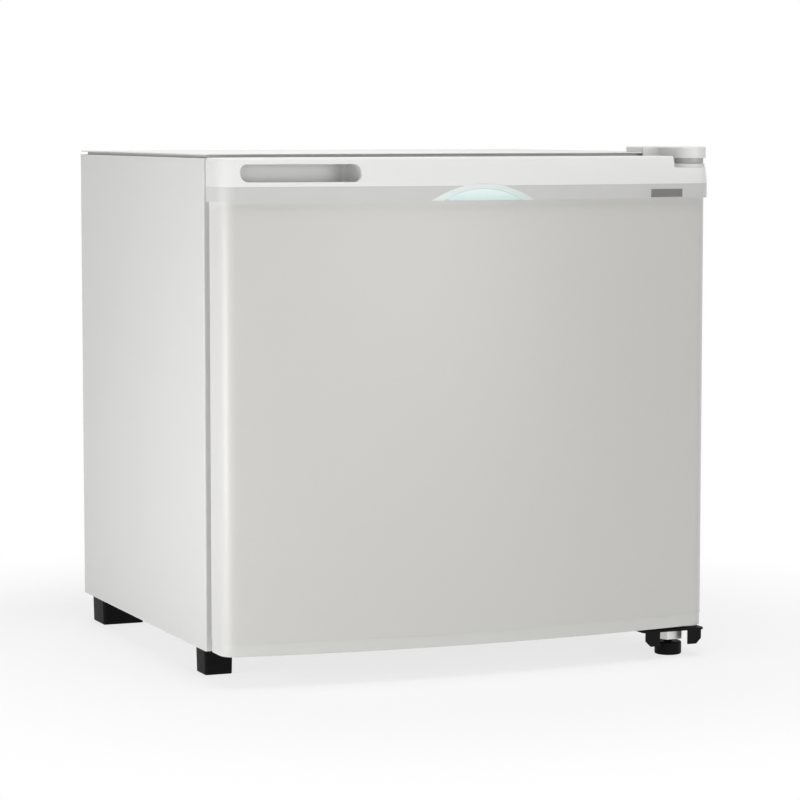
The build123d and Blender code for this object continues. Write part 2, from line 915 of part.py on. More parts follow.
def hinge_plan(inset):
    """Plan of the top hinge in the sketch: a body over the worktop's edge and a round nose over the door."""
    right = hinge_x + hinge_nose_radius - inset
    front = cabinet_front - hinge_body_ahead
    area((right + 2 * inset - hinge_body_length, front + inset), (right, front + hinge_body_depth - inset))
    area((hinge_x - hinge_nose_radius + inset, hinge_y), (right, front + hinge_nose_radius))
    with Locations((hinge_x, hinge_y)):
        Circle(hinge_nose_radius - inset)


# Places of the top hinge's screws, on the body behind the nose.
top_screw_places = [
    (hinge_x - screw_spacing / 2 - offset, cabinet_front - hinge_body_ahead + hinge_body_depth / 2)
    for offset in (-screw_spacing / 2, screw_spacing / 2)
]
cover_inset = cover_wall + cover_play

# Top hinge bracket: a flat plate on the worktop that reaches over the door and holds the pin.
with BuildPart() as top_hinge_bracket:
    with BuildSketch(level(cabinet_top)):
        hinge_plan(cover_inset)
        with Locations((hinge_x, hinge_y)):
            Circle(hinge_pin_radius, mode=Mode.SUBTRACT)
        with Locations(*top_screw_places):
            Circle(screw_radius, mode=Mode.SUBTRACT)
    extrude(amount=hinge_plate)

save(top_hinge_bracket, "top_hinge_bracket")

# Hinge pins: one through each bracket into the door's bushes, the upper one with a wide shoulder.
with BuildPart() as hinge_pins:
    with BuildSketch(level(hinge_seat - hinge_pin_depth)):
        with Locations((hinge_x, hinge_y)):
            Circle(hinge_pin_radius)
    extrude(amount=hinge_seat_drop + hinge_pin_depth + hinge_plate)
    with BuildSketch(level(hinge_seat + bush_collar_height + hinge_rest_play)):
        with Locations((hinge_x, hinge_y)):
            Circle(hinge_shoulder_radius)
    extrude(amount=hinge_seat_drop - bush_collar_height - hinge_rest_play)
    with BuildSketch(level(bracket_bottom)):
        with Locations((hinge_x, hinge_y)):
            Circle(hinge_pin_radius)
    extrude(amount=hinge_plate + door_lift + hinge_pin_depth - hinge_rest_play)

save(hinge_pins, "hinge_pins")

# Hinge cover: a moulded lid over the bracket with a skirt in front of the cabinet.
with BuildPart() as top_hinge_cover:
    with BuildSketch(level(cabinet_top)):
        hinge_plan(0)
    extrude(amount=cover_height)
    with BuildSketch(level(cabinet_top - cover_skirt)):
        hinge_plan(0)
        area((0, cabinet_front - cover_play), (cabinet_width, cabinet_back), mode=Mode.SUBTRACT)
    extrude(amount=cover_skirt)
    upright = top_hinge_cover.edges().filter_by(Axis.Z)
    fillet(upright.filter_by(lambda e: e.center().Y > cabinet_front + 2 * hinge_nose_radius), cover_inset)
    fillet(top_hinge_cover.faces().sort_by(Axis.Z)[-1].edges(), cover_wall)
    with BuildSketch(level(cabinet_top - cover_skirt)):
        hinge_plan(cover_wall)
    extrude(amount=cover_skirt + cover_height - cover_wall, mode=Mode.SUBTRACT)

save(top_hinge_cover, "top_hinge_cover")

# Places of the bottom hinge's screws, under the base pan.
bottom_screw_places = [
    (screw_x, cabinet_front + bottom_bracket_back / 2)
    for screw_x in (bracket_left + bottom_screw_inset, bracket_right - bottom_screw_inset)
]
notch_middle = level_foot_x - bottom_bracket_notch_shift

# Bottom hinge bracket: a plate under the cabinet with a folded front edge, notched for the foot.
with BuildPart() as bottom_hinge_bracket:
    with BuildSketch(level(bracket_bottom)) as plan:
        area((bracket_left, bracket_front), (bracket_right, cabinet_front + bottom_bracket_back))
        fillet(plan.vertices().group_by(Axis.Y)[0], foot_corner)
        with Locations((hinge_x, hinge_y)):
            Circle(hinge_pin_radius, mode=Mode.SUBTRACT)
        with Locations((level_foot_x, level_foot_y)):
            Circle(level_stud_radius + level_play, mode=Mode.SUBTRACT)
        with Locations(*bottom_screw_places):
            Circle(screw_radius, mode=Mode.SUBTRACT)
    extrude(amount=hinge_plate)
    with BuildSketch(facing_front(bracket_front + hinge_plate)) as flange:
        area(
            (bracket_left + foot_corner, bracket_bottom - bottom_bracket_flange),
            (bracket_right - foot_corner, bracket_bottom),
        )
        chamfer(flange.vertices().group_by(Axis.Y)[0], bottom_bracket_flange_corner)
        area(
            (notch_middle - bottom_bracket_notch / 2, bracket_bottom - bottom_bracket_flange),
            (notch_middle + bottom_bracket_notch / 2, bracket_bottom),
            mode=Mode.SUBTRACT,
        )
    extrude(amount=hinge_plate)

save(bottom_hinge_bracket, "bottom_hinge_bracket")

# Hinge screws: a head on each bracket and a shank through it, above the worktop and under the base pan.
with BuildPart() as hinge_screws:
    for places, bottom, outside, outwards in (
        (top_screw_places, cabinet_top, cabinet_top + hinge_plate, 1),
        (bottom_screw_places, bracket_bottom, bracket_bottom, -1),
    ):
        with BuildSketch(level(bottom)):
            with Locations(*places):
                Circle(screw_radius)
        extrude(amount=hinge_plate)
        with BuildSketch(level(outside)):
            with Locations(*places):
                Circle(screw_head_radius)
        extrude(amount=outwards * screw_head, taper=screw_head_draft)

save(hinge_screws, "hinge_screws")

# Levelling foot under the hinge: a round pad on a stud, locked by a nut under the bracket.
with BuildPart() as level_foot:
    with BuildSketch(level(0)):
        with Locations((level_foot_x, level_foot_y)):
            Circle(level_foot_radius)
    extrude(amount=level_foot_height)
    fillet(level_foot.edges(), foot_corner / 2)
    with BuildSketch(level(level_foot_height)):
        with Locations((level_foot_x, level_foot_y)):
            Circle(level_stud_radius)
    extrude(amount=cabinet_bottom - level_foot_height)

save(level_foot, "level_foot")

# Lock nut of the levelling foot, held against the bracket.
with BuildPart() as level_nut:
    with BuildSketch(level(bracket_bottom)):
        with Locations((level_foot_x, level_foot_y)):
            RegularPolygon(level_nut_size / 2, 6, major_radius=False)
            Circle(level_stud_radius + level_play, mode=Mode.SUBTRACT)
    extrude(amount=-level_nut_height)

save(level_nut, "level_nut")

# Front left foot: a moulded block that narrows to the floor.
with BuildPart() as front_left_foot:
    with BuildSketch(level(cabinet_bottom)):
        with Locations((front_foot_inset - half_width, cabinet_front + front_foot_setback)):
            RectangleRounded(front_foot_size, front_foot_size, foot_corner, align=(Align.MIN, Align.MIN))
    extrude(amount=-floor_clearance, taper=foot_draft)

save(front_left_foot, "front_left_foot")

# Rear feet: a wider block under each end of the compressor shelf.
with BuildPart() as rear_feet:
    with BuildSketch(level(cabinet_bottom)):
        for side in (-1, 1):
            with Locations(
                (
                    side * (half_width - rear_foot_inset - rear_foot_width / 2),
                    cabinet_back - rear_foot_setback - rear_foot_depth / 2,
                )
            ):
                RectangleRounded(rear_foot_width, rear_foot_depth, foot_corner)
    extrude(amount=-floor_clearance, taper=foot_draft)

save(rear_feet, "rear_feet")

# Ice box: the cooling plate bent into a box open at the front, with its channels raised on the floor.
with BuildPart() as ice_box:
    with BuildSketch(facing_front(ice_back)):
        area((ice_left, ice_bottom), (ice_right, ice_top), ice_corner)
    extrude(amount=ice_depth)
    with BuildSketch(facing_front(ice_back - ice_wall)):
        area(
            (ice_left + ice_wall, ice_bottom + ice_wall),
            (ice_right - ice_wall, ice_top - ice_wall),
            ice_corner - ice_wall,
        )
    extrude(amount=ice_depth, mode=Mode.SUBTRACT)
    channel_height = ice_bottom + ice_wall
    channel_half = (channel_passes - 1) * channel_pitch / 2
    channel_points = []
    for step in range(channel_passes):
        ends = [ice_front + channel_margin, ice_back - channel_margin]
        if step % 2:
            ends.reverse()
        for end in ends:
            channel_points.append((ice_middle - channel_half + step * channel_pitch, end, channel_height))
    pipe_along(channel_points, channel_radius, channel_pitch / 2 - channel_radius)

save(ice_box, "ice_box")

# Hangers: four posts that hold the ice box under the liner's ceiling.
with BuildPart() as ice_box_hangers:
    with BuildSketch(level(ice_top)):
        with Locations((ice_middle, (ice_front + ice_back) / 2)):
            with GridLocations(ice_width - 2 * hanger_inset, ice_depth - 2 * hanger_inset, 2, 2):
                Circle(hanger_radius)
    extrude(amount=ice_hang)

save(ice_box_hangers, "ice_box_hangers")

# Ears on the sides of the ice box, with the holes that the flap turns in.
with BuildPart() as flap_ears:
    for start in (ice_left - ear_wall, ice_right):
        with BuildSketch(facing_right(start)):
            area(
                (flap_axis_y - ear_nose, ice_top - ear_top_play - ear_height),
                (ice_front + ear_grip, ice_top - ear_top_play),
                ear_nose,
            )
            with Locations((flap_axis_y, flap_axis_z)):
                Circle(flap_pin_radius + flap_pin_play, mode=Mode.SUBTRACT)
        extrude(amount=ear_wall)

save(flap_ears, "flap_ears")

# Freezer flap: a shallow pan with a rim at the back, a pull at the bottom and a pin at each end.
with BuildPart() as freezer_flap:
    flap_low = (ice_left + flap_side_play, flap_bottom)
    flap_high = (ice_right - flap_side_play, flap_axis_z + flap_above_pin)
    flap_face = flap_axis_y + flap_thickness / 2
    with BuildSketch(facing_front(flap_face + flap_rim)):
        area(flap_low, flap_high, flap_above_pin / 2)
        area(
            (flap_low[0] + flap_rim_wall, flap_low[1] + flap_rim_wall),
            (flap_high[0] - flap_rim_wall, flap_high[1] - flap_rim_wall),
            mode=Mode.SUBTRACT,
        )
    extrude(amount=flap_rim)
    with BuildSketch(facing_front(flap_face)):
        area(flap_low, flap_high, flap_above_pin / 2)
    extrude(amount=flap_thickness)
    with BuildSketch(level(flap_bottom)) as pull:
        area(
            (ice_middle - flap_pull_width / 2, flap_face - flap_thickness - flap_pull_reach),
            (ice_middle + flap_pull_width / 2, flap_face),
        )
        fillet(pull.vertices().group_by(Axis.Y)[0], flap_pull_reach / 2)
    extrude(amount=flap_pull_height)
    with BuildSketch(facing_right(ice_left - ear_wall)):
        with Locations((flap_axis_y, flap_axis_z)):
            Circle(flap_pin_radius)
    extrude(amount=ear_wall + flap_side_play)
    with BuildSketch(facing_right(ice_right - flap_side_play)):
        with Locations((flap_axis_y, flap_axis_z)):
            Circle(flap_pin_radius)
    extrude(amount=ear_wall + flap_side_play)

save(freezer_flap, "freezer_flap")

# Tray runners: a channel along each side under the ice box.
runner_bottom = tray_floor - tray_lift - runner_wall
with BuildPart() as tray_runners:
    for edge, side in ((ice_left + runner_inset, 1), (ice_right - runner_inset, -1)):
        with BuildSketch(facing_front(ice_back)):
            with BuildLine():
                Polyline(
                    (edge, runner_bottom),
                    (edge + side * runner_foot, runner_bottom),
                    (edge + side * runner_foot, runner_bottom + runner_wall),
                    (edge + side * runner_wall, runner_bottom + runner_wall),
                    (edge + side * runner_wall, ice_bottom - runner_wall),
                    (edge + side * runner_foot, ice_bottom - runner_wall),
                    (edge + side * runner_foot, ice_bottom),
                    (edge, ice_bottom),
                    close=True,
                )
            make_face()
        extrude(amount=ice_depth)

save(tray_runners, "tray_runners")

# Drip tray: an open tray that slides in the runners, with a lip to pull it by.
with BuildPart() as drip_tray:
    with BuildSketch(level(tray_floor)):
        area((tray_left, tray_front), (tray_right, ice_back - tray_behind), tray_corner)
    extrude(amount=tray_height)
    with BuildSketch(level(tray_floor + tray_wall)):
        area(
            (tray_left + tray_wall, tray_front + tray_wall),
            (tray_right - tray_wall, ice_back - tray_behind - tray_wall),
            tray_corner - tray_wall,
        )
    extrude(amount=tray_height - tray_wall, mode=Mode.SUBTRACT)
    with BuildSketch(level(tray_floor + tray_height - tray_wall)) as pull:
        area(
            (ice_middle - flap_pull_width, tray_front - tray_pull),
            (ice_middle + flap_pull_width, tray_front + tray_wall),
        )
        fillet(pull.vertices().group_by(Axis.Y)[0], tray_pull / 2)
    extrude(amount=tray_wall)

save(drip_tray, "drip_tray")

# Wire shelf: a bent frame with straight wires across it and a stiffener below them.
with BuildPart() as wire_shelf:
    with BuildLine(level(shelf_height)) as outline:
        FilletPolyline(
            (shelf_half, shelf_front),
            (shelf_half, shelf_rear),
            (-shelf_half, shelf_rear),
            (-shelf_half, shelf_front),
            radius=shelf_corner,
            close=True,
        )
    with BuildSketch(Plane(origin=outline.line @ 0, z_dir=outline.line % 0)):
        Circle(shelf_frame_radius)
    sweep(path=outline.line)
    wire_pitch = 2 * (shelf_half - shelf_corner / 2) / shelf_wire_count
    with BuildSketch(facing_front(shelf_rear)):
        with Locations((0, shelf_height)):
            with GridLocations(wire_pitch, 1, shelf_wire_count, 1):
                Circle(shelf_wire_radius)
    extrude(amount=shelf_rear - shelf_front)
    with BuildSketch(facing_right(-shelf_half)):
        stiffener_height = shelf_height - shelf_frame_radius + shelf_wire_radius
        with Locations(((shelf_front + shelf_rear) / 2, stiffener_height)):
            Circle(shelf_wire_radius)
    extrude(amount=2 * shelf_half)

save(wire_shelf, "wire_shelf")

# Thermostat housing: a moulded box under the ceiling, open at the top.
with BuildPart() as thermostat_housing:
    with BuildSketch(level(inner_top - thermo_height)):
        area(
            (thermo_right - thermo_width, ice_front),
            (thermo_right, ice_front + thermo_depth),
            thermo_corner,
        )
    extrude(amount=thermo_height)
    fillet(thermostat_housing.faces().sort_by(Axis.Z)[0].edges(), thermo_wall)
    with BuildSketch(level(inner_top - thermo_height + thermo_wall)):
        area(
            (thermo_right - thermo_width + thermo_wall, ice_front + thermo_wall),
            (thermo_right - thermo_wall, ice_front + thermo_depth - thermo_wall),
            thermo_corner - thermo_wall,
        )
    extrude(amount=thermo_height - thermo_wall, mode=Mode.SUBTRACT)
    with BuildSketch(facing_front(ice_front)):
        with Locations((thermo_x, thermo_z)):
            Circle(shaft_radius + shaft_hole_play)
    extrude(amount=-thermo_wall, mode=Mode.SUBTRACT)
    with BuildSketch(facing_right(thermo_right - thermo_width)):
        with Locations((ice_front + thermo_wall + control_depth / 2, thermo_z)):
            Circle(sensor_radius + shaft_hole_play)
    extrude(amount=thermo_wall, mode=Mode.SUBTRACT)

save(thermostat_housing, "thermostat_housing")

# Thermostat control behind the housing's front wall, with its shaft through the wall.
with BuildPart() as thermostat_control:
    with BuildSketch(facing_front(ice_front + thermo_wall)):
        with Locations((thermo_x, thermo_z)):
            RectangleRounded(control_width, control_height, thermo_corner / 2)
    extrude(amount=-control_depth)
    with BuildSketch(facing_front(ice_front + thermo_wall)):
        with Locations((thermo_x, thermo_z)):
            Circle(shaft_radius)
    extrude(amount=thermo_wall + shaft_reach)

save(thermostat_control, "thermostat_control")

# Thermostat knob: a drafted disc with a grip rib, turning on the control's shaft.
with BuildPart() as thermostat_knob:
    with BuildSketch(facing_front(ice_front - knob_gap)):
        with Locations((thermo_x, thermo_z)):
            Circle(knob_radius)
    extrude(amount=knob_height, taper=knob_draft)
    fillet(thermostat_knob.faces().sort_by(Axis.Y)[0].edges(), knob_gap * 2)
    with BuildSketch(facing_front(ice_front - knob_gap - knob_height)):
        with Locations((thermo_x, thermo_z)):
            SlotOverall(2 * knob_radius - 2 * knob_rib_width, knob_rib_width, rotation=90)
    extrude(amount=knob_rib)
    with BuildSketch(facing_front(ice_front - knob_gap)):
        with Locations((thermo_x, thermo_z)):
            Circle(shaft_radius + shaft_play)
    extrude(amount=shaft_reach, mode=Mode.SUBTRACT)

save(thermostat_knob, "thermostat_knob")

# Sensing tube from the control to the side of the ice box.
sensor_y = ice_front + thermo_wall + control_depth / 2
with BuildPart() as sensing_tube:
    pipe_along(
        [
            (thermo_x - control_width / 2, sensor_y, thermo_z),
            (ice_right + sensor_radius, sensor_y, thermo_z),
            (ice_right + sensor_radius, sensor_y + sensor_length, thermo_z),
        ],
        sensor_radius,
        sensor_bend,
    )

save(sensing_tube, "sensing_tube")

# Compressor shelf: a plate across the recess with a raised rear lip.
with BuildPart() as compressor_shelf:
    with BuildSketch(facing_right(sheet - half_width)):
        area((recess_front, cabinet_bottom), (panel_back, plate_top))
        area((panel_back - shelf_plate, cabinet_bottom), (panel_back, cabinet_bottom + shelf_lip))
    extrude(amount=cabinet_width - 2 * sheet)
    with BuildSketch(facing_front(panel_back)):
        with Locations((half_width - gland_inset, cabinet_bottom + shelf_lip / 2)):
            Circle(gland_radius)
    extrude(amount=shelf_plate, mode=Mode.SUBTRACT)

save(compressor_shelf, "compressor_shelf")

# Cord gland in the shelf's lip.
with BuildPart() as cord_gland:
    with BuildSketch(facing_front(panel_back)):
        with Locations((half_width - gland_inset, cabinet_bottom + shelf_lip / 2)):
            Circle(gland_radius)
    extrude(amount=gland_length)
    with BuildSketch(facing_front(panel_back)):
        with Locations((half_width - gland_inset, cabinet_bottom + shelf_lip / 2)):
            Circle(gland_flange_radius)
    extrude(amount=-gland_flange)
    fillet(cord_gland.faces().sort_by(Axis.Y)[-1].edges(), gland_flange / 2)
    with BuildSketch(facing_front(panel_back + gland_flange)):
        with Locations((half_width - gland_inset, cabinet_bottom + shelf_lip / 2)):
            Circle(gland_bore)
    extrude(amount=gland_flange + gland_length, mode=Mode.SUBTRACT)

save(cord_gland, "cord_gland")

bolt_places = [
    (pump_offset + side * bolt_spacing_x / 2, pump_y + end * bolt_spacing_y / 2)
    for side in (-1, 1)
    for end in (-1, 1)
]

# Rubber grommets between the shelf and the compressor's base.
with BuildPart() as compressor_grommets:
    for radius, bottom, height in (
        (grommet_radius, plate_top, grommet_flange),
        (grommet_waist_radius, plate_top + grommet_flange, grommet_height - 2 * grommet_flange),
        (grommet_radius, base_bottom - grommet_flange, grommet_flange),
    ):
        with BuildSketch(level(bottom)):
            with Locations(*bolt_places):
                Circle(radius)
                Circle(bolt_radius + bolt_play, mode=Mode.SUBTRACT)
        extrude(amount=height)

save(compressor_grommets, "compressor_grommets")

# Base plate that the can stands on.
with BuildPart() as compressor_base:
    with BuildSketch(level(base_bottom)):
        with Locations((pump_offset, pump_y)):
            RectangleRounded(base_width, base_depth, base_corner)
        with Locations(*bolt_places):
            Circle(bolt_radius + bolt_play, mode=Mode.SUBTRACT)
    extrude(amount=base_plate)

save(compressor_base, "compressor_base")

# Bolts through the base plate and the grommets.
with BuildPart() as compressor_bolts:
    with BuildSketch(level(plate_top)):
        with Locations(*bolt_places):
            Circle(bolt_radius)
    extrude(amount=grommet_height + base_plate)
    with BuildSketch(level(can_bottom)):
        with Locations(*bolt_places):
            RegularPolygon(bolt_head_radius, 6)
    extrude(amount=bolt_head)

save(compressor_bolts, "compressor_bolts")


def can_block(inset):
    """Oval compressor can with rounded ends, drawn in by an inset."""
    with BuildPart() as block:
        with BuildSketch(level(can_bottom + inset)):
            with Locations((pump_offset, pump_y)):
                Ellipse(can_half_width - inset, can_half_depth - inset)
        extrude(amount=can_height - 2 * inset)
        fillet(block.edges().group_by(Axis.Z)[0] + block.edges().group_by(Axis.Z)[-1], can_round - inset)
    return block.part


can_outside = can_block(0)
can_inside = can_block(can_wall)

# Compressor can: two pressed halves with a weld seam round the middle.
with BuildPart() as compressor_can:
    add(can_outside)
    with BuildSketch(level((can_bottom + can_top - can_seam_height) / 2)):
        with Locations((pump_offset, pump_y)):
            Ellipse(can_half_width + can_seam_reach, can_half_depth + can_seam_reach)
    extrude(amount=can_seam_height)
    add(can_inside, mode=Mode.SUBTRACT)

save(compressor_can, "compressor_can")

# Pump block on its four springs inside the can.
spring_bottom = can_bottom + can_wall
with BuildPart() as pump_springs:
    with BuildSketch(level(spring_bottom)):
        with Locations((pump_offset, pump_y)):
            with PolarLocations(spring_circle, 4, start_angle=45):
                Circle(spring_radius)
                Circle(spring_radius - spring_wall, mode=Mode.SUBTRACT)
    extrude(amount=spring_height)

with BuildPart() as pump_block:
    with BuildSketch(level(spring_bottom + spring_height)):
        with Locations((pump_offset, pump_y)):
            Circle(pump_radius)
    extrude(amount=pump_height)

save(pump_springs, "pump_springs")
save(pump_block, "pump_block")

# Relay cover on the side of the can.
relay_left = pump_offset + can_half_width
with BuildPart() as relay_cover:
    with BuildSketch(facing_right(relay_left)):
        area(
            (pump_y - relay_depth / 2, can_bottom + relay_lift),
            (pump_y + relay_depth / 2, can_bottom + relay_lift + relay_height),
            relay_corner,
        )
    extrude(amount=relay_width)
    fillet(relay_cover.faces().sort_by(Axis.X)[-1].edges(), relay_corner / 2)

save(relay_cover, "relay_cover")

# Suction pipe from the insulation above down to the can.
suction_y = pump_y + suction_side
suction_x = pump_offset - can_half_width - suction_reach
with BuildPart() as suction_pipe:
    pipe_along(
        [
            (pump_offset - can_half_width / 2, suction_y, can_top - suction_drop),
            (suction_x, suction_y, can_top - suction_drop),
            (suction_x, suction_y, recess_top),
        ],
        pipe_radius,
        pipe_bend,
    )
    add(can_outside, mode=Mode.SUBTRACT)

save(suction_pipe, "suction_pipe")

# Process tube: the short filling stub on the can, pinched shut at its end.
with BuildPart() as process_tube:
    with BuildSketch(facing_right(pump_offset - can_half_width / 2)):
        with Locations((pump_y + process_side, can_top - process_drop)):
            Circle(pipe_radius)
    extrude(amount=-can_half_width / 2 - process_reach)
    add(can_outside, mode=Mode.SUBTRACT)
    with BuildSketch(facing_right(pump_offset - can_half_width - process_reach)):
        with Locations((pump_y + process_side, can_top - process_drop)):
            Rectangle(2 * pipe_radius, pipe_radius / 2)
    extrude(amount=-4 * pipe_radius)

save(process_tube, "process_tube")

# Discharge pipe from the can to the condenser's riser.
discharge_z = can_top - discharge_drop
with BuildPart() as discharge_pipe:
    pipe_along(
        [
            (pump_offset + can_half_width / 2, pump_y, discharge_z),
            (condenser_riser, pump_y, discharge_z),
            (condenser_riser, condenser_y, discharge_z),
            (condenser_riser, condenser_y, stub_end),
        ],
        condenser_tube_radius,
        pipe_bend,
    )
    add(can_outside, mode=Mode.SUBTRACT)

save(discharge_pipe, "discharge_pipe")

# Condenser tube: a riser to the top, then passes down the back to the drier.
condenser_points = [(condenser_riser, condenser_y, stub_end)]
for step in range(condenser_passes):
    height = condenser_top - step * condenser_pitch
    right = condenser_riser if step == 0 else condenser_half
    ends = [right, -condenser_half]
    if step % 2:
        ends.reverse()
    for end in ends:
        condenser_points.append((end, condenser_y, height))
condenser_points.append((-condenser_half, condenser_y, stub_end))
with BuildPart() as condenser_tube:
    pipe_along(condenser_points, condenser_tube_radius, condenser_bend)

save(condenser_tube, "condenser_tube")

# Condenser wires: straight wires on both faces of the tube's passes.
with BuildPart() as condenser_wires:
    for side in (-1, 1):
        with BuildSketch(level(condenser_bottom - condenser_wire_overhang)):
            with Locations((0, condenser_y + side * (condenser_tube_radius + condenser_wire_radius))):
                with GridLocations(condenser_wire_pitch, 1, condenser_wire_count, 1):
                    Circle(condenser_wire_radius)
        extrude(amount=condenser_top - condenser_bottom + 2 * condenser_wire_overhang)

save(condenser_wires, "condenser_wires")

# Condenser brackets: clips screwed to the back panel between the wires, under the tube's passes.
bracket_x = (condenser_wire_count - 2) * condenser_wire_pitch / 2
bracket_levels = [
    condenser_bottom + condenser_pitch - condenser_tube_radius,
    condenser_top - condenser_pitch - condenser_tube_radius,
]
with BuildPart() as condenser_brackets:
    for side in (-1, 1):
        for height in bracket_levels:
            with BuildSketch(facing_right(side * bracket_x - condenser_bracket_width / 2)):
                area(
                    (panel_back, height - condenser_bracket_wall),
                    (condenser_y + condenser_tube_radius, height),
                )
                area(
                    (panel_back, height - condenser_bracket_foot),
                    (panel_back + condenser_bracket_wall, height),
                )
            extrude(amount=condenser_bracket_width)

save(condenser_brackets, "condenser_brackets")

# Screw heads on the feet of the condenser brackets.
with BuildPart() as condenser_screws:
    with BuildSketch(facing_front(panel_back + condenser_bracket_wall)):
        for height in bracket_levels:
            with Locations((0, height - condenser_bracket_foot / 2 - condenser_bracket_wall)):
                with GridLocations(2 * bracket_x, 1, 2, 1):
                    Circle(screw_head_radius)
    extrude(amount=-screw_head, taper=screw_head_draft)

save(condenser_screws, "condenser_screws")

# Filter drier below the condenser's outlet: a spun can with a neck at each end.
with BuildPart() as filter_drier:
    with BuildSketch(facing_front(condenser_y)):
        with BuildLine():
            Polyline(
                (-condenser_half, stub_end),
                (condenser_tube_radius - condenser_half, stub_end),
                (drier_radius - condenser_half, stub_end - drier_neck),
                (drier_radius - condenser_half, drier_bottom + drier_neck),
                (capillary_radius - condenser_half, drier_bottom),
                (-condenser_half, drier_bottom),
                close=True,
            )
        make_face()
    revolve(axis=Axis((-condenser_half, condenser_y, 0), (0, 0, 1)))

save(filter_drier, "filter_drier")

# Capillary tube from the drier back into the insulation above the recess.
with BuildPart() as capillary_tube:
    pipe_along(
        [
            (-condenser_half, condenser_y, drier_bottom),
            (-condenser_half, condenser_y, drier_bottom - capillary_sag),
            (-condenser_half, pump_y, drier_bottom - capillary_sag),
            (-condenser_half, pump_y, recess_top),
        ],
        capillary_radius,
        capillary_bend,
    )

save(capillary_tube, "capillary_tube")
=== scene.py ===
"""Mini fridge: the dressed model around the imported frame, in metres, front to -Y and up to +Z."""
import json
from math import cos, pi, radians, sin, sqrt

import bmesh
import bpy
from mathutils import Matrix, Vector

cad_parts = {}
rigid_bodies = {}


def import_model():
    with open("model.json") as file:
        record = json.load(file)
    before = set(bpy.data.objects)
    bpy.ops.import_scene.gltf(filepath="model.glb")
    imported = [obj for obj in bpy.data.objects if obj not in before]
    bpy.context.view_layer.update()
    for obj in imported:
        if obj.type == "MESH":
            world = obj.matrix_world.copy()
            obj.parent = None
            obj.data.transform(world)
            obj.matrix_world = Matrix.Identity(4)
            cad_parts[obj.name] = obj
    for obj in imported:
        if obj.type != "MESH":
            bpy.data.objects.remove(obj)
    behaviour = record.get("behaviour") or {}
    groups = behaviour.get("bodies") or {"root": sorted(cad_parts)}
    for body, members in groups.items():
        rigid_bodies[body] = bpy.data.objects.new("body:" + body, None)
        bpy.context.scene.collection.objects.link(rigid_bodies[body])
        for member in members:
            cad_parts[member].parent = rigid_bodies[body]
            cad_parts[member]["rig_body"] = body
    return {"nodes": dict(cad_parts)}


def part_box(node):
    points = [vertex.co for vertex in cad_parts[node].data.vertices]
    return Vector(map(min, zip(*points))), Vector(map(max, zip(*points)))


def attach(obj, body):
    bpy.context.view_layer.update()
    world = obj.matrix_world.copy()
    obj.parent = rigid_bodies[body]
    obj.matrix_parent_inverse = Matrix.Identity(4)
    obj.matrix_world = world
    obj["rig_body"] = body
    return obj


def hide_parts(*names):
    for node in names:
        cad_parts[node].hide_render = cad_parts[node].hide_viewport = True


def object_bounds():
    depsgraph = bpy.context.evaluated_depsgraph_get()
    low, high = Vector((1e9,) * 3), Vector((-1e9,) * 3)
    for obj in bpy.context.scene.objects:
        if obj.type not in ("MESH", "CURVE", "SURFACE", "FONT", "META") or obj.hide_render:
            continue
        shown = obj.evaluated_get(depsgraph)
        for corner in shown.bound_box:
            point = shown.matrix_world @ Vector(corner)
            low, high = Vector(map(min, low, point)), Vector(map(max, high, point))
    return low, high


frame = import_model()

solid_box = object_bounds()
scene = bpy.context.scene


# Cabinet shell: folded sheets of white-coated steel round the insulation.
# The coat is sprayed and baked, so it has a faint orange peel and a satin shine.
# The sheets meet at folded edges, which are rounded a little more here than in the solids.
class Shade:
    """One socket of a finish's node tree. Arithmetic on values adds Math nodes."""

    def __init__(self, tree, socket=None):
        self.tree = tree
        self.socket = socket

    def feed(self, node, sockets):
        """Set or link sockets of a node."""
        for key, value in sockets.items():
            if isinstance(value, Shade):
                self.tree.links.new(value.socket, node.inputs[key])
            else:
                node.inputs[key].default_value = value

    def node(self, kind, settings=None, sockets=None, output=0):
        """Add a node: its settings first, then the values or links of its sockets."""
        made = self.tree.nodes.new("ShaderNode" + kind)
        for key, setting in (settings or {}).items():
            setattr(made, key, setting)
        self.feed(made, sockets or {})
        return Shade(self.tree, made.outputs[output])

    def maths(self, operation, first, second):
        """Add a Math node on two values."""
        return self.node("Math", {"operation": operation}, {0: first, 1: second})

    def __add__(self, other):
        return self.maths("ADD", self, other)

    __radd__ = __add__

    def __sub__(self, other):
        return self.maths("SUBTRACT", self, other)

    def __rsub__(self, other):
        return self.maths("SUBTRACT", other, self)

    def __mul__(self, other):
        return self.maths("MULTIPLY", self, other)

    __rmul__ = __mul__

    def __gt__(self, other):
        return self.maths("GREATER_THAN", self, other)

    def __lt__(self, other):
        return self.maths("LESS_THAN", self, other)

    def tint(self, low, high):
        """Colour between low and high, mixed by this value."""
        colours = {0: self, 6: (*low, 1.0), 7: (*high, 1.0)}
        return self.node("Mix", {"data_type": "RGBA"}, colours, output=2)

    def bump(self, strength, depth):
        """Relief in which this value is the height, with its depth in metres."""
        return self.node("Bump", None, {"Height": self, "Strength": strength, "Distance": depth})

    def surface(self, sockets):
        """Set or link sockets of the finish's own shader."""
        self.feed(self.tree.nodes["Principled BSDF"], sockets)


def new_finish(name):
    """A material and the starting point for its nodes."""
    material = bpy.data.materials.new(name)
    material.use_nodes = True
    return material, Shade(material.node_tree)


def grain(paint, scale, detail=2.0):
    """Noise that sits still on the piece, with its scale in grains per metre."""
    where = paint.node("TexCoord", output="Object")
    return paint.node("TexNoise", None, {"Vector": where, "Scale": scale, "Detail": detail})


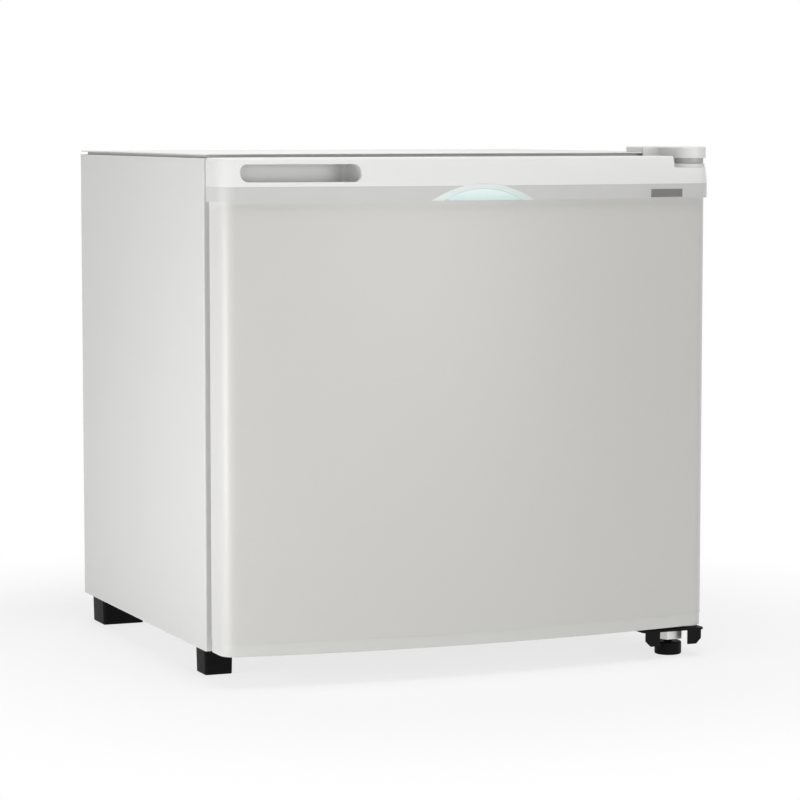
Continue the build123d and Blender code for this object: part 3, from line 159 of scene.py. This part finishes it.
def sprayed_steel(name, colour, shadow, gloss):
    """Baked paint on steel: slow drift in tone, orange peel and a thin clear top."""
    material, paint = new_finish(name)
    drift = grain(paint, scale=7.0, detail=3.0)
    peel = grain(paint, scale=420.0)
    paint.surface(
        {
            "Base Color": drift.tint(shadow, colour),
            "Roughness": peel * 0.08 + gloss,
            "Normal": peel.bump(strength=0.35, depth=0.00004),
            "Coat Weight": 0.15,
            "Coat Roughness": 0.25,
        }
    )
    return material


def fit_piece(work, name, body, finish):
    """Turn bmesh work into a piece that rides on a body, with its curves shaded smooth."""
    for face in work.faces:
        face.smooth = True
    for line in work.edges:
        line.smooth = line.calc_face_angle(pi) < sharp_angle
    mesh = bpy.data.meshes.new(name)
    work.to_mesh(mesh)
    work.free()
    mesh.materials.append(finish)
    piece = bpy.data.objects.new(name, mesh)
    scene.collection.objects.link(piece)
    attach(piece, body)
    return piece


def dress(node, finish, edge=0.0):
    """Let a merged copy of a node, with smooth curves and rounded edges, stand for the node."""
    solid = frame["nodes"][node]
    work = bmesh.new()
    work.from_mesh(solid.data)
    bmesh.ops.remove_doubles(work, verts=work.verts, dist=weld_distance)
    bmesh.ops.dissolve_limit(work, angle_limit=flat_angle, verts=work.verts, edges=work.edges)
    piece = fit_piece(work, node + "_dressed", solid["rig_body"], finish)
    if edge > 0:
        rounding = piece.modifiers.new("edges", "BEVEL")
        rounding.limit_method = "ANGLE"
        rounding.angle_limit = sharp_angle
        rounding.width = edge
        rounding.segments = 2
        rounding.profile = 0.5
        rounding.harden_normals = True
    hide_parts(node)


weld_distance = 0.00001
flat_angle = radians(0.3)
sharp_angle = radians(32.0)
cabinet_white = sprayed_steel(
    "cabinet_white", colour=(0.80, 0.80, 0.785), shadow=(0.775, 0.775, 0.765), gloss=0.36
)
for sheet_node in ("side_panel_left", "side_panel_right", "top_sheet", "base_pan"):
    dress(sheet_node, cabinet_white, edge=0.0003)

# Worktop: a thin moulded plate on an inset rim, snapped onto the top sheet.
# It is white plastic with a fine leather-like grain that hides scratches.
worktop_grain, paint = new_finish("worktop_grain")
pebbles = grain(paint, scale=900.0, detail=3.0)
worn = grain(paint, scale=14.0, detail=4.0)
paint.surface(
    {
        "Base Color": worn.tint((0.78, 0.78, 0.765), (0.82, 0.82, 0.81)),
        "Roughness": worn * 0.12 + 0.38,
        "Normal": pebbles.bump(strength=0.5, depth=0.0001),
    }
)
dress("worktop", worktop_grain, edge=0.0003)

# Rear sheets: galvanised steel left bare behind the cabinet, in the recess and under the compressor.
# The zinc freezes into flat crystals, which differ a little in tone and shine.
zinc_sheet, paint = new_finish("zinc_sheet")
where = paint.node("TexCoord", output="Object")
crystals = paint.node("TexVoronoi", None, {"Vector": where, "Scale": 140.0}, output="Color")
tone = paint.node("SeparateColor", None, {"Color": crystals}, output="Red")
stain = grain(paint, scale=18.0, detail=4.0)
paint.surface(
    {
        "Base Color": (tone * 0.6 + stain * 0.4).tint((0.36, 0.37, 0.375), (0.52, 0.53, 0.535)),
        "Metallic": 0.75,
        "Roughness": tone * 0.14 + 0.36,
    }
)
for sheet_node in ("back_panel", "recess_panel", "compressor_shelf"):
    dress(sheet_node, zinc_sheet, edge=0.0003)


# Panel screws: hex-headed sheet metal screws with a pressed washer, in rows round the back panel.
# They are zinc-plated steel, faintly yellow, clouded and satin.
# They hold the panel to the flanges of the sides and the top.
def add_piece(work, name, body, finish):
    """Add a piece that only the dressed model has, with its faces turned outwards."""
    bmesh.ops.recalc_face_normals(work, faces=work.faces)
    fit_piece(work, name, body, finish)


plated, paint = new_finish("plated_steel")
cloud = grain(paint, scale=120.0, detail=4.0)
paint.surface(
    {
        "Base Color": cloud.tint((0.50, 0.50, 0.48), (0.68, 0.68, 0.66)),
        "Metallic": 0.95,
        "Roughness": cloud * 0.2 + 0.22,
    }
)
flange_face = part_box("side_panel_left")[1].y
panel_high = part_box("back_panel")[1]
screw_inset = 0.007
side_row = (0.20, 0.285, 0.37, 0.445)
top_row = (-0.15, 0.0, 0.15)
washer_sides, washer_radius, washer_thick = 20, 0.0042, 0.0007
hex_sides, hex_radius, hex_thick = 6, 0.0027, 0.0025
head_taper = 0.9
screw_spots = [(side * (panel_high.x - screw_inset), height) for side in (-1, 1) for height in side_row]
screw_spots += [(across, panel_high.z - screw_inset) for across in top_row]
work = bmesh.new()
for across, upward in screw_spots:
    for sides, radius, low, thick in (
        (washer_sides, washer_radius, 0.0, washer_thick),
        (hex_sides, hex_radius, washer_thick, hex_thick),
    ):
        spot = Matrix.Translation((across, flange_face + low + thick / 2, upward))
        bmesh.ops.create_cone(
            work,
            cap_ends=True,
            segments=sides,
            radius1=radius,
            radius2=radius * head_taper,
            depth=thick,
            matrix=spot @ Matrix.Rotation(-pi / 2, 4, "X"),
        )
add_piece(work, "panel_screws", "cabinet", plated)


# Insulation: rigid foam blown between the sheets and the liners, in the cabinet and in the door.
# It is closed in on all sides; its colour is a pale straw with open cells.
def coat(node, finish):
    """Give the solid of a node that is closed in a finish of its own."""
    coats = frame["nodes"][node].data.materials
    coats.clear()
    coats.append(finish)


blown_foam, paint = new_finish("blown_foam")
cells = grain(paint, scale=700.0, detail=4.0)
paint.surface(
    {
        "Base Color": cells.tint((0.62, 0.50, 0.26), (0.76, 0.66, 0.42)),
        "Roughness": 0.9,
        "Normal": cells.bump(strength=0.8, depth=0.0006),
    }
)
for foam_node in ("cabinet_foam", "door_foam"):
    coat(foam_node, blown_foam)


# Inner liner: polystyrene sheet drawn over a mould, glossy on the side that faces the food.
# Its shelf rails are the same plastic.
def moulded(name, colour, shadow, gloss, texture=0.00002, clear=0.0, sheen=0.5):
    """Moulded plastic: faint flow marks, a fine tool texture and the gloss of its mould."""
    material, paint = new_finish(name)
    flow = grain(paint, scale=22.0, detail=4.0)
    fine = grain(paint, scale=1400.0)
    paint.surface(
        {
            "Base Color": flow.tint(shadow, colour),
            "Roughness": flow * 0.05 + gloss,
            "Normal": fine.bump(strength=0.4, depth=texture),
            "Transmission Weight": clear,
            "Specular IOR Level": sheen,
        }
    )
    return material


liner_gloss = moulded(
    "liner_gloss", colour=(0.83, 0.845, 0.845), shadow=(0.80, 0.815, 0.82), gloss=0.22
)
dress("inner_liner", liner_gloss)
dress("shelf_rails", liner_gloss, edge=0.0004)

# Ice box: the cooling plate, two aluminium sheets rolled together and bent into a box.
# The channel for the refrigerant shows as a raised snake on its floor.
# White plastic hangers, flap ears and tray runners carry the box and what belongs to it.
rolled_aluminium, paint = new_finish("rolled_aluminium")
where = paint.node("TexCoord", output="Object")
lengthwise = paint.node("Mapping", None, {"Vector": where, "Scale": (900.0, 12.0, 900.0)})
streaks = paint.node("TexNoise", None, {"Vector": lengthwise, "Scale": 1.0, "Detail": 3.0})
bloom = grain(paint, scale=26.0, detail=4.0)
paint.surface(
    {
        "Base Color": (streaks * 0.5 + bloom * 0.5).tint((0.60, 0.61, 0.62), (0.76, 0.77, 0.775)),
        "Metallic": 0.9,
        "Roughness": bloom * 0.2 + 0.3,
        "Normal": streaks.bump(strength=0.25, depth=0.00004),
    }
)
dress("ice_box", rolled_aluminium, edge=0.0003)
inner_white = moulded(
    "inner_white", colour=(0.80, 0.815, 0.815), shadow=(0.76, 0.775, 0.78), gloss=0.34
)
for fitting in ("ice_box_hangers", "flap_ears", "tray_runners"):
    dress(fitting, inner_white, edge=0.0004)

# Freezer flap and drip tray: clear styrene with a cool tint, moulded and clipped or slid in.
# Frosting in the mould keeps them from being see-through like glass.
frosted_flap = moulded(
    "frosted_flap",
    colour=(0.72, 0.82, 0.86),
    shadow=(0.66, 0.77, 0.82),
    gloss=0.2,
    texture=0.00003,
    clear=0.35,
)
dress("freezer_flap", frosted_flap, edge=0.0004)
frosted_tray = moulded(
    "frosted_tray",
    colour=(0.74, 0.82, 0.85),
    shadow=(0.68, 0.77, 0.80),
    gloss=0.18,
    texture=0.00003,
    clear=0.35,
)
dress("drip_tray", frosted_tray, edge=0.0004)

# Wire shelf: steel wires welded to a bent frame and dipped in white epoxy.
# The dip is thick and glossy and rounds the welds.
dipped_wire = sprayed_steel(
    "dipped_wire", colour=(0.82, 0.82, 0.815), shadow=(0.78, 0.78, 0.775), gloss=0.24
)
dress("wire_shelf", dipped_wire)

# Thermostat: a clip-in housing of white plastic with a steel-cased control inside.
# The dial on its front is grey plastic with a grip rib across it.
dress("thermostat_housing", inner_white, edge=0.0004)
control_plate, paint = new_finish("control_plate")
rolled = grain(paint, scale=60.0, detail=4.0)
paint.surface(
    {
        "Base Color": rolled.tint((0.44, 0.44, 0.43), (0.56, 0.56, 0.55)),
        "Metallic": 0.9,
        "Roughness": rolled * 0.2 + 0.3,
    }
)
dress("thermostat_control", control_plate, edge=0.0003)
dial_grey = moulded("dial_grey", colour=(0.58, 0.60, 0.61), shadow=(0.54, 0.56, 0.575), gloss=0.32)
dress("thermostat_knob", dial_grey, edge=0.0005)

# Dial marks: a ring of ticks and numbers round the dial, and a line on its rib.
# They are printed in dark ink and stand only a hair proud of the plastic.
dial_low, dial_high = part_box("thermostat_knob")
dial_middle = (dial_low + dial_high) / 2
housing_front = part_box("thermostat_housing")[0].y
dial_ink = moulded("dial_ink", colour=(0.075, 0.08, 0.085), shadow=(0.055, 0.06, 0.065), gloss=0.5)
ink = 0.0001
mark_count, mark_step = 11, radians(27)
tick_start, tick_width = 0.0173, 0.0005
long_tick, short_tick = 0.0020, 0.0012
number_circle, number_size = 0.0222, 0.0052
line_width, line_length, line_centre = 0.0010, 0.0075, 0.0060
work = bmesh.new()
for mark in range(mark_count):
    turn = mark * mark_step
    numbered = mark % 2 == 0
    tick_length = long_tick if numbered else short_tick
    tick = bmesh.ops.create_cube(work, size=1.0)["verts"]
    bmesh.ops.scale(work, vec=(tick_width, 2 * ink, tick_length), verts=tick)
    bmesh.ops.translate(work, vec=(0.0, 0.0, tick_start + tick_length / 2), verts=tick)
    bmesh.ops.rotate(work, matrix=Matrix.Rotation(turn, 3, "Y"), verts=tick)
    bmesh.ops.translate(work, vec=(dial_middle.x, housing_front, dial_middle.z), verts=tick)
    if numbered:
        letters = bpy.data.curves.new("dial_number", "FONT")
        letters.body = str(mark // 2)
        letters.size = number_size
        letters.align_x = "CENTER"
        letters.align_y = "CENTER"
        letters.extrude = ink
        number = bpy.data.objects.new("dial_number", letters)
        number_mesh = bpy.data.meshes.new_from_object(number)
        known = len(work.verts)
        work.from_mesh(number_mesh)
        work.verts.ensure_lookup_table()
        figure = work.verts[known:]
        bmesh.ops.rotate(work, matrix=Matrix.Rotation(pi / 2, 3, "X"), verts=figure)
        sideways = number_circle * sin(turn)
        upward = number_circle * cos(turn)
        place = (dial_middle.x + sideways, housing_front, dial_middle.z + upward)
        bmesh.ops.translate(work, vec=place, verts=figure)
        bpy.data.objects.remove(number)
        bpy.data.meshes.remove(number_mesh)
        bpy.data.curves.remove(letters)
add_piece(work, "dial_marks", "cabinet", dial_ink)
work = bmesh.new()
rib_line = bmesh.ops.create_cube(work, size=1.0)["verts"]
bmesh.ops.scale(work, vec=(line_width, 2 * ink, line_length), verts=rib_line)
line_place = (dial_middle.x, dial_low.y, dial_middle.z + line_centre)
bmesh.ops.translate(work, vec=line_place, verts=rib_line)
add_piece(work, "dial_line", "knob", dial_ink)

# Refrigerant pipes: drawn copper, brazed at the ends and dulled by handling.
# The thick drier, the thin capillary and the thermostat's sensing tube are copper too.
copper, paint = new_finish("drawn_copper")
tarnish = grain(paint, scale=45.0, detail=5.0)
scratch = grain(paint, scale=600.0)
paint.surface(
    {
        "Base Color": tarnish.tint((0.36, 0.155, 0.075), (0.68, 0.33, 0.18)),
        "Metallic": 1.0,
        "Roughness": tarnish * 0.25 + scratch * 0.1 + 0.18,
    }
)
for pipe in (
    "sensing_tube",
    "suction_pipe",
    "process_tube",
    "discharge_pipe",
    "capillary_tube",
    "filter_drier",
):
    dress(pipe, copper)

# Compressor: two deep-drawn steel shells welded round the middle on a base plate, painted black.
# It is bolted down on rubber grommets; the pump and its springs are sealed inside.
# The relay cover on its side and the cord gland in the shelf are black plastic.
enamel, paint = new_finish("black_enamel")
dusting = grain(paint, scale=30.0, detail=5.0)
peel = grain(paint, scale=500.0)
paint.surface(
    {
        "Base Color": dusting.tint((0.012, 0.012, 0.013), (0.034, 0.034, 0.035)),
        "Roughness": dusting * 0.18 + 0.28,
        "Normal": peel.bump(strength=0.4, depth=0.00006),
    }
)
dress("compressor_can", enamel)
dress("compressor_base", enamel, edge=0.0005)
foot_black = moulded(
    "foot_black",
    colour=(0.007, 0.007, 0.0072),
    shadow=(0.003, 0.003, 0.0031),
    gloss=0.5,
    texture=0.00008,
    sheen=0.08,
)
dress("relay_cover", foot_black, edge=0.0005)
dress("cord_gland", foot_black, edge=0.0003)
grommet_rubber = moulded(
    "grommet_rubber",
    colour=(0.022, 0.022, 0.022),
    shadow=(0.014, 0.014, 0.014),
    gloss=0.62,
    texture=0.00006,
)
dress("compressor_grommets", grommet_rubber, edge=0.0004)
dress("compressor_bolts", plated, edge=0.0003)
coat("pump_block", enamel)
coat("pump_springs", plated)

# Condenser: one long tube bent to and fro with wires welded across both sides, dipped black.
# Small brackets and plated screws hold it to the back panel.
for condenser_node in ("condenser_tube", "condenser_wires", "condenser_brackets"):
    dress(condenser_node, enamel)
dress("condenser_screws", plated, edge=0.0002)

# Feet: black moulded blocks at three corners and a levelling pad under the hinge.
# The pad's stud is held by a plated nut.
for foot in ("front_left_foot", "rear_feet", "level_foot"):
    dress(foot, foot_black, edge=0.0006)
dress("level_nut", plated, edge=0.0005)

# Hinges: a plated bracket under a moulded cover above the door, a black bracket below it.
# Each carries a pin of dull cast zinc that turns in a bush in the door's cap.
for hinge_piece in ("top_hinge_bracket", "hinge_screws"):
    dress(hinge_piece, plated, edge=0.0003)
cast_zinc, paint = new_finish("cast_zinc")
sand = grain(paint, scale=800.0, detail=3.0)
paint.surface(
    {
        "Base Color": sand.tint((0.42, 0.42, 0.425), (0.50, 0.50, 0.505)),
        "Metallic": 0.3,
        "Roughness": sand * 0.1 + 0.5,
        "Normal": sand.bump(strength=0.4, depth=0.00005),
    }
)
dress("hinge_pins", cast_zinc, edge=0.0004)
hinge_black = moulded(
    "hinge_black", colour=(0.008, 0.008, 0.008), shadow=(0.004, 0.004, 0.004), gloss=0.44, sheen=0.08
)
dress("bottom_hinge_bracket", hinge_black, edge=0.0006)
cover_white = moulded(
    "cover_white", colour=(0.86, 0.86, 0.845), shadow=(0.83, 0.83, 0.815), gloss=0.4, texture=0.00004
)
dress("top_hinge_cover", cover_white, edge=0.0003)
bush_white = moulded("bush_white", colour=(0.78, 0.78, 0.76), shadow=(0.74, 0.74, 0.72), gloss=0.3)
dress("hinge_bushes", bush_white, edge=0.0004)


# Door panel: one bowed sheet of steel with its two sides turned back.
# The front has a warm grey-white coat with a very fine fleck; the turned sides are painted white, as
# painted light on the faces that turn to the side.
def place_along(paint, axis):
    """Where a point of the piece lies along one axis, in metres."""
    where = paint.node("TexCoord", output="Object")
    return paint.node("SeparateXYZ", None, {"Vector": where}, output=axis)


def painted_side_light(paint):
    """Share of painted light across the door: none on the front, all of it on the turned sides."""
    from_middle = paint.node("Math", {"operation": "ABSOLUTE"}, {0: place_along(paint, "X")})
    bend = {"Value": from_middle, "From Min": door_side - bend_start, "From Max": door_side - bend_end}
    return paint.node("MapRange", None, bend)


door_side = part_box("door_panel")[1].x
bend_start, bend_end = 0.008, 0.001
door_coat, paint = new_finish("door_coat")
fleck = grain(paint, scale=1800.0, detail=1.0)
drift = grain(paint, scale=5.0, detail=3.0)
peel = grain(paint, scale=380.0)
# Painted light: the turned sides are painted lighter than the front.
coat_tone_and_painted_light = painted_side_light(paint) * 0.7 + fleck * 0.18 + drift * 0.12
paint.surface(
    {
        "Base Color": coat_tone_and_painted_light.tint((0.61, 0.605, 0.58), (0.80, 0.795, 0.78)),
        "Roughness": peel * 0.08 + 0.32,
        "Normal": peel.bump(strength=0.3, depth=0.00004),
        "Coat Weight": 0.1,
        "Coat Roughness": 0.3,
    }
)
dress("door_panel", door_coat)

# Door caps: moulded ends that close the bowed panel, the upper one with the grip pocket.
# They are white plastic with a fine satin texture.
# The band along the upper cap and the front of the lower cap have the tone of the door front; above the
# band and at the turned ends of both caps the plastic is painted lighter, as painted light from above and
# from the side.
band_line = 0.4382
cap_white, paint = new_finish("cap_white")
# Painted light: the slope above the band is painted white and the band's ends lighter, where light from
# above and the side falls.
painted_light_above_band = place_along(paint, "Z") > band_line
painted_light_share = paint.maths("MAXIMUM", painted_light_above_band, painted_side_light(paint) * 0.4)
flow = grain(paint, scale=22.0, detail=4.0)
fine = grain(paint, scale=1400.0)
cap_tone_and_painted_light = painted_light_share * 0.88 + flow * 0.12
paint.surface(
    {
        "Base Color": cap_tone_and_painted_light.tint((0.61, 0.61, 0.595), (0.89, 0.89, 0.88)),
        "Roughness": flow * 0.1 + 0.34,
        "Normal": fine.bump(strength=0.4, depth=0.00003),
    }
)
dress("door_top_cap", cap_white, edge=0.0004)
trim_white, paint = new_finish("trim_white")
flow = grain(paint, scale=22.0, detail=4.0)
fine = grain(paint, scale=1400.0)
# Painted light: the lower cap's turned ends are painted lighter than its front.
trim_tone_and_painted_light = painted_side_light(paint) * 0.8 + flow * 0.2
paint.surface(
    {
        "Base Color": trim_tone_and_painted_light.tint((0.66, 0.66, 0.635), (0.80, 0.80, 0.785)),
        "Roughness": flow * 0.05 + 0.34,
        "Normal": fine.bump(strength=0.4, depth=0.00002),
    }
)
dress("door_bottom_cap", trim_white, edge=0.0006)


# Mouth rim: the lip along the lower edge of the grip pocket's mouth and the webs in its upper corners.
# Both are moulded with the cap, in the same plastic, and lie flush with its front.
# That front is bowed, and it leans back above the band.
def cap_front(across, upward):
    """Place of the upper cap's bowed front, which leans back above its band."""
    bow = band_bow - sqrt(band_bow**2 - across**2)
    return cap_low.y + bow + front_lean * max(0.0, upward - lean_start)


def corner_rise(inset):
    """How far a rounded corner rises from the edge at this distance from the mouth's end."""
    reach = max(0.0, mouth_round - inset)
    return mouth_round - sqrt(mouth_round**2 - reach**2)


def thicken(work, faces, depth):
    """Extrude faces straight back by a depth, or forwards where it is negative."""
    pushed = bmesh.ops.extrude_face_region(work, geom=faces)["geom"]
    moved = [item for item in pushed if isinstance(item, bmesh.types.BMVert)]
    bmesh.ops.translate(work, vec=(0.0, depth, 0.0), verts=moved)


cap_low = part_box("door_top_cap")[0]
band_bow = 1.3717
front_lean, lean_start = 0.289, 0.4415
mouth_left, mouth_right = -0.220, -0.113
mouth_low, mouth_high = 0.4405, 0.4575
mouth_round = 0.0065
lip_top = 0.4420
lip_depth, web_depth = 0.004, 0.010
lip_steps, web_steps = 40, 8
work = bmesh.new()
bmesh.ops.create_grid(work, x_segments=lip_steps, y_segments=2, size=0.5)
for point in work.verts:
    # The steps are closer together towards the rounded ends.
    along = (1 - cos(pi * (point.co.x + 0.5))) / 2
    across = mouth_left + along * (mouth_right - mouth_left)
    upper_edge = lip_top + corner_rise(min(across - mouth_left, mouth_right - across))
    row = round(2 * point.co.y + 1)
    upward = (mouth_low, lean_start, upper_edge)[row]
    point.co = (across, cap_front(across, upward), upward)
thicken(work, work.faces[:], lip_depth)
for corner_x, inward in ((mouth_left, 1), (mouth_right, -1)):
    outline = [(corner_x, mouth_high)]
    for step in range(web_steps + 1):
        turn = pi / 2 * step / web_steps
        across = corner_x + inward * mouth_round * (1 - sin(turn))
        upward = mouth_high - mouth_round * (1 - cos(turn))
        outline.append((across, upward))
    front = [work.verts.new((x, cap_front(x, z), z)) for x, z in outline]
    web = work.faces.new(front)
    thicken(work, [web], web_depth)
add_piece(work, "mouth_rim", "door", cap_white)

# Blank plate: a small strip of dark grey plastic on the right of the cap's band.
# It is bent to the bow of the door, bears no mark and is glued on.
strip_left, strip_right = 0.171, 0.205
strip_bottom, strip_top = 0.4262, 0.4334
strip_steps = 16
strip_proud, strip_rounding = 0.0006, 0.0002
rim_angle = radians(60)
work = bmesh.new()
bmesh.ops.create_grid(work, x_segments=strip_steps, y_segments=2, size=0.5)
for point in work.verts:
    across = strip_left + (point.co.x + 0.5) * (strip_right - strip_left)
    upward = strip_bottom + (point.co.y + 0.5) * (strip_top - strip_bottom)
    point.co = (across, cap_front(across, upward), upward)
thicken(work, work.faces[:], -strip_proud)
rim = [line for line in work.edges if line.calc_face_angle(0.0) > rim_angle]
bmesh.ops.bevel(
    work, geom=rim, offset=strip_rounding, affect="EDGES", segments=2, profile=0.5, material=-1
)
strip_grey = moulded("strip_grey", colour=(0.22, 0.22, 0.222), shadow=(0.185, 0.185, 0.187), gloss=0.3)
add_piece(work, "blank_plate", "door", strip_grey)

# Badge: a plain arch over the seam, a glossy plastic frame with a pale aqua inlay.
# The inlay is lacquered from behind and deepens towards its lower edge.
inlay_low, inlay_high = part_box("badge_inlay")
aqua_lacquer, paint = new_finish("aqua_lacquer")
rise = (place_along(paint, "Z") - inlay_low.z) * (1 / (inlay_high.z - inlay_low.z))
paint.surface(
    {
        "Base Color": rise.tint((0.40, 0.57, 0.55), (0.62, 0.78, 0.76)),
        "Roughness": grain(paint, scale=300.0) * 0.06 + 0.12,
        "Coat Weight": 0.5,
        "Coat Roughness": 0.05,
    }
)
dress("badge_inlay", aqua_lacquer, edge=0.0002)
badge_frame = moulded(
    "badge_frame", colour=(0.70, 0.77, 0.755), shadow=(0.66, 0.73, 0.715), gloss=0.14
)
dress("badge_rim", badge_frame, edge=0.0002)

# Door liner and racks: the drawn liner closes the back of the door and carries two bins.
# The bins are moulded in a faintly clear plastic and stand on the liner's lugs.
dress("door_liner", liner_gloss)
dress("rack_lugs", liner_gloss, edge=0.0004)
rack_white = moulded(
    "rack_white", colour=(0.80, 0.83, 0.84), shadow=(0.76, 0.795, 0.81), gloss=0.2, clear=0.15
)
for bin_node in ("lower_rack", "upper_rack"):
    dress(bin_node, rack_white, edge=0.0003)

# Gasket: soft grey vinyl with a magnet in its bulb, pushed into a groove round the liner.
# It is matte, and its grey is made darker than the vinyl's own, as painted shade of the narrow gap between
# door and cabinet.
# Painted shade: the gasket's grey is darkened for the gap it sits in.
gasket_vinyl_and_painted_shade = moulded(
    "gasket_vinyl_and_painted_shade", colour=(0.34, 0.34, 0.335), shadow=(0.28, 0.28, 0.275), gloss=0.55, texture=0.00005
)
dress("door_gasket", gasket_vinyl_and_painted_shade, edge=0.0005)


# Studio: a pale floor in a pale room, with one lamp low on the left, two in front, one overhead and
# one behind, so that every side is lit.
# Floor and room show as white, and the floor keeps the shadow under the fridge.
def seen_rays(paint):
    """One where the camera sees a surface straight, in a mirror or through glass, and nought elsewhere."""
    straight = paint.node("LightPath", output="Is Camera Ray")
    mirrored = paint.node("LightPath", output="Is Glossy Ray")
    through = paint.node("LightPath", output="Is Transmission Ray")
    return paint.maths("MINIMUM", straight + mirrored + through, 1.0)


floor_size = 16.0
work = bmesh.new()
bmesh.ops.create_grid(work, x_segments=2, y_segments=2, size=floor_size / 2)
floor_mesh = bpy.data.meshes.new("studio_floor")
work.to_mesh(floor_mesh)
work.free()
floor = bpy.data.objects.new("studio_floor", floor_mesh)
scene.collection.objects.link(floor)
floor_paper, paper = new_finish("floor_paper")
floor_mesh.materials.append(floor_paper)
where = paper.node("TexCoord", output="Object")
reach = paper.node("VectorMath", {"operation": "LENGTH"}, {0: where}, output="Value")
shadow_reach, clear_reach = 0.33, 0.70
shadow_glow = 0.76
fade = {
    "Value": reach,
    "From Min": shadow_reach,
    "From Max": clear_reach,
    "To Min": shadow_glow,
    "To Max": 1.0,
}
glow_share = paper.node("MapRange", {"interpolation_type": "SMOOTHSTEP"}, fade)
dull = paper.node("BsdfDiffuse", None, {"Color": (0.9, 0.9, 0.9, 1.0)})
glow = paper.node("Emission", None, {"Color": (1.0, 1.0, 1.0, 1.0), "Strength": 1.0})
lit_paper = paper.node("MixShader", None, {0: seen_rays(paper) * glow_share, 1: dull, 2: glow})
paper.feed(floor_paper.node_tree.nodes["Material Output"], {"Surface": lit_paper})

world = bpy.data.worlds.new("studio_room")
world.use_nodes = True
scene.world = world
room = Shade(world.node_tree)
room_level = 0.25
level = seen_rays(room) * (1.0 - room_level) + room_level
room.feed(world.node_tree.nodes["Background"], {"Color": (1.0, 1.0, 1.0, 1.0), "Strength": level})

middle = (solid_box[0] + solid_box[1]) / 2
for name, place, width, watts in (
    ("left_softbox", (-0.95, -0.37, 0.20), 0.4, 2.6),
    ("front_softbox", (0.75, -2.6, 0.4), 1.0, 15.0),
    ("fill_softbox", (-1.6, -2.2, 0.42), 0.8, 5.0),
    ("top_softbox", (0.0, -0.6, 2.3), 1.2, 20.5),
    ("back_softbox", (0.4, 1.9, 1.9), 1.0, 9.0),
):
    lamp = bpy.data.lights.new(name, "AREA")
    lamp.shape = "SQUARE"
    lamp.size = width
    lamp.energy = watts
    holder = bpy.data.objects.new(name, lamp)
    scene.collection.objects.link(holder)
    holder.location = Vector(place)
    holder.rotation_mode = "QUATERNION"
    holder.rotation_quaternion = (middle - holder.location).to_track_quat("-Z", "Y")

# Camera: a long lens left of the front and just above the worktop, as the photograph was taken.
# Its place is measured from the middle of the cabinet's upper front edge.
picture_width = 800
focal_pixels = 3036.9
front_edge = Vector((0.0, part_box("side_panel_left")[0].y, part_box("worktop")[1].z))
camera_place = front_edge + Vector((-1.0964, -2.5199, 0.0265))
camera_target = front_edge + Vector((-0.04955, 0.0, -0.2219))
camera_data = bpy.data.cameras.new("photo_camera")
camera_data.sensor_width = 36.0
camera_data.lens = focal_pixels / picture_width * camera_data.sensor_width
camera = bpy.data.objects.new("photo_camera", camera_data)
scene.collection.objects.link(camera)
camera.location = camera_place
camera.rotation_mode = "QUATERNION"
camera.rotation_quaternion = (camera_target - camera_place).to_track_quat("-Z", "Y")
scene.camera = camera
scene.view_settings.view_transform = "Standard"
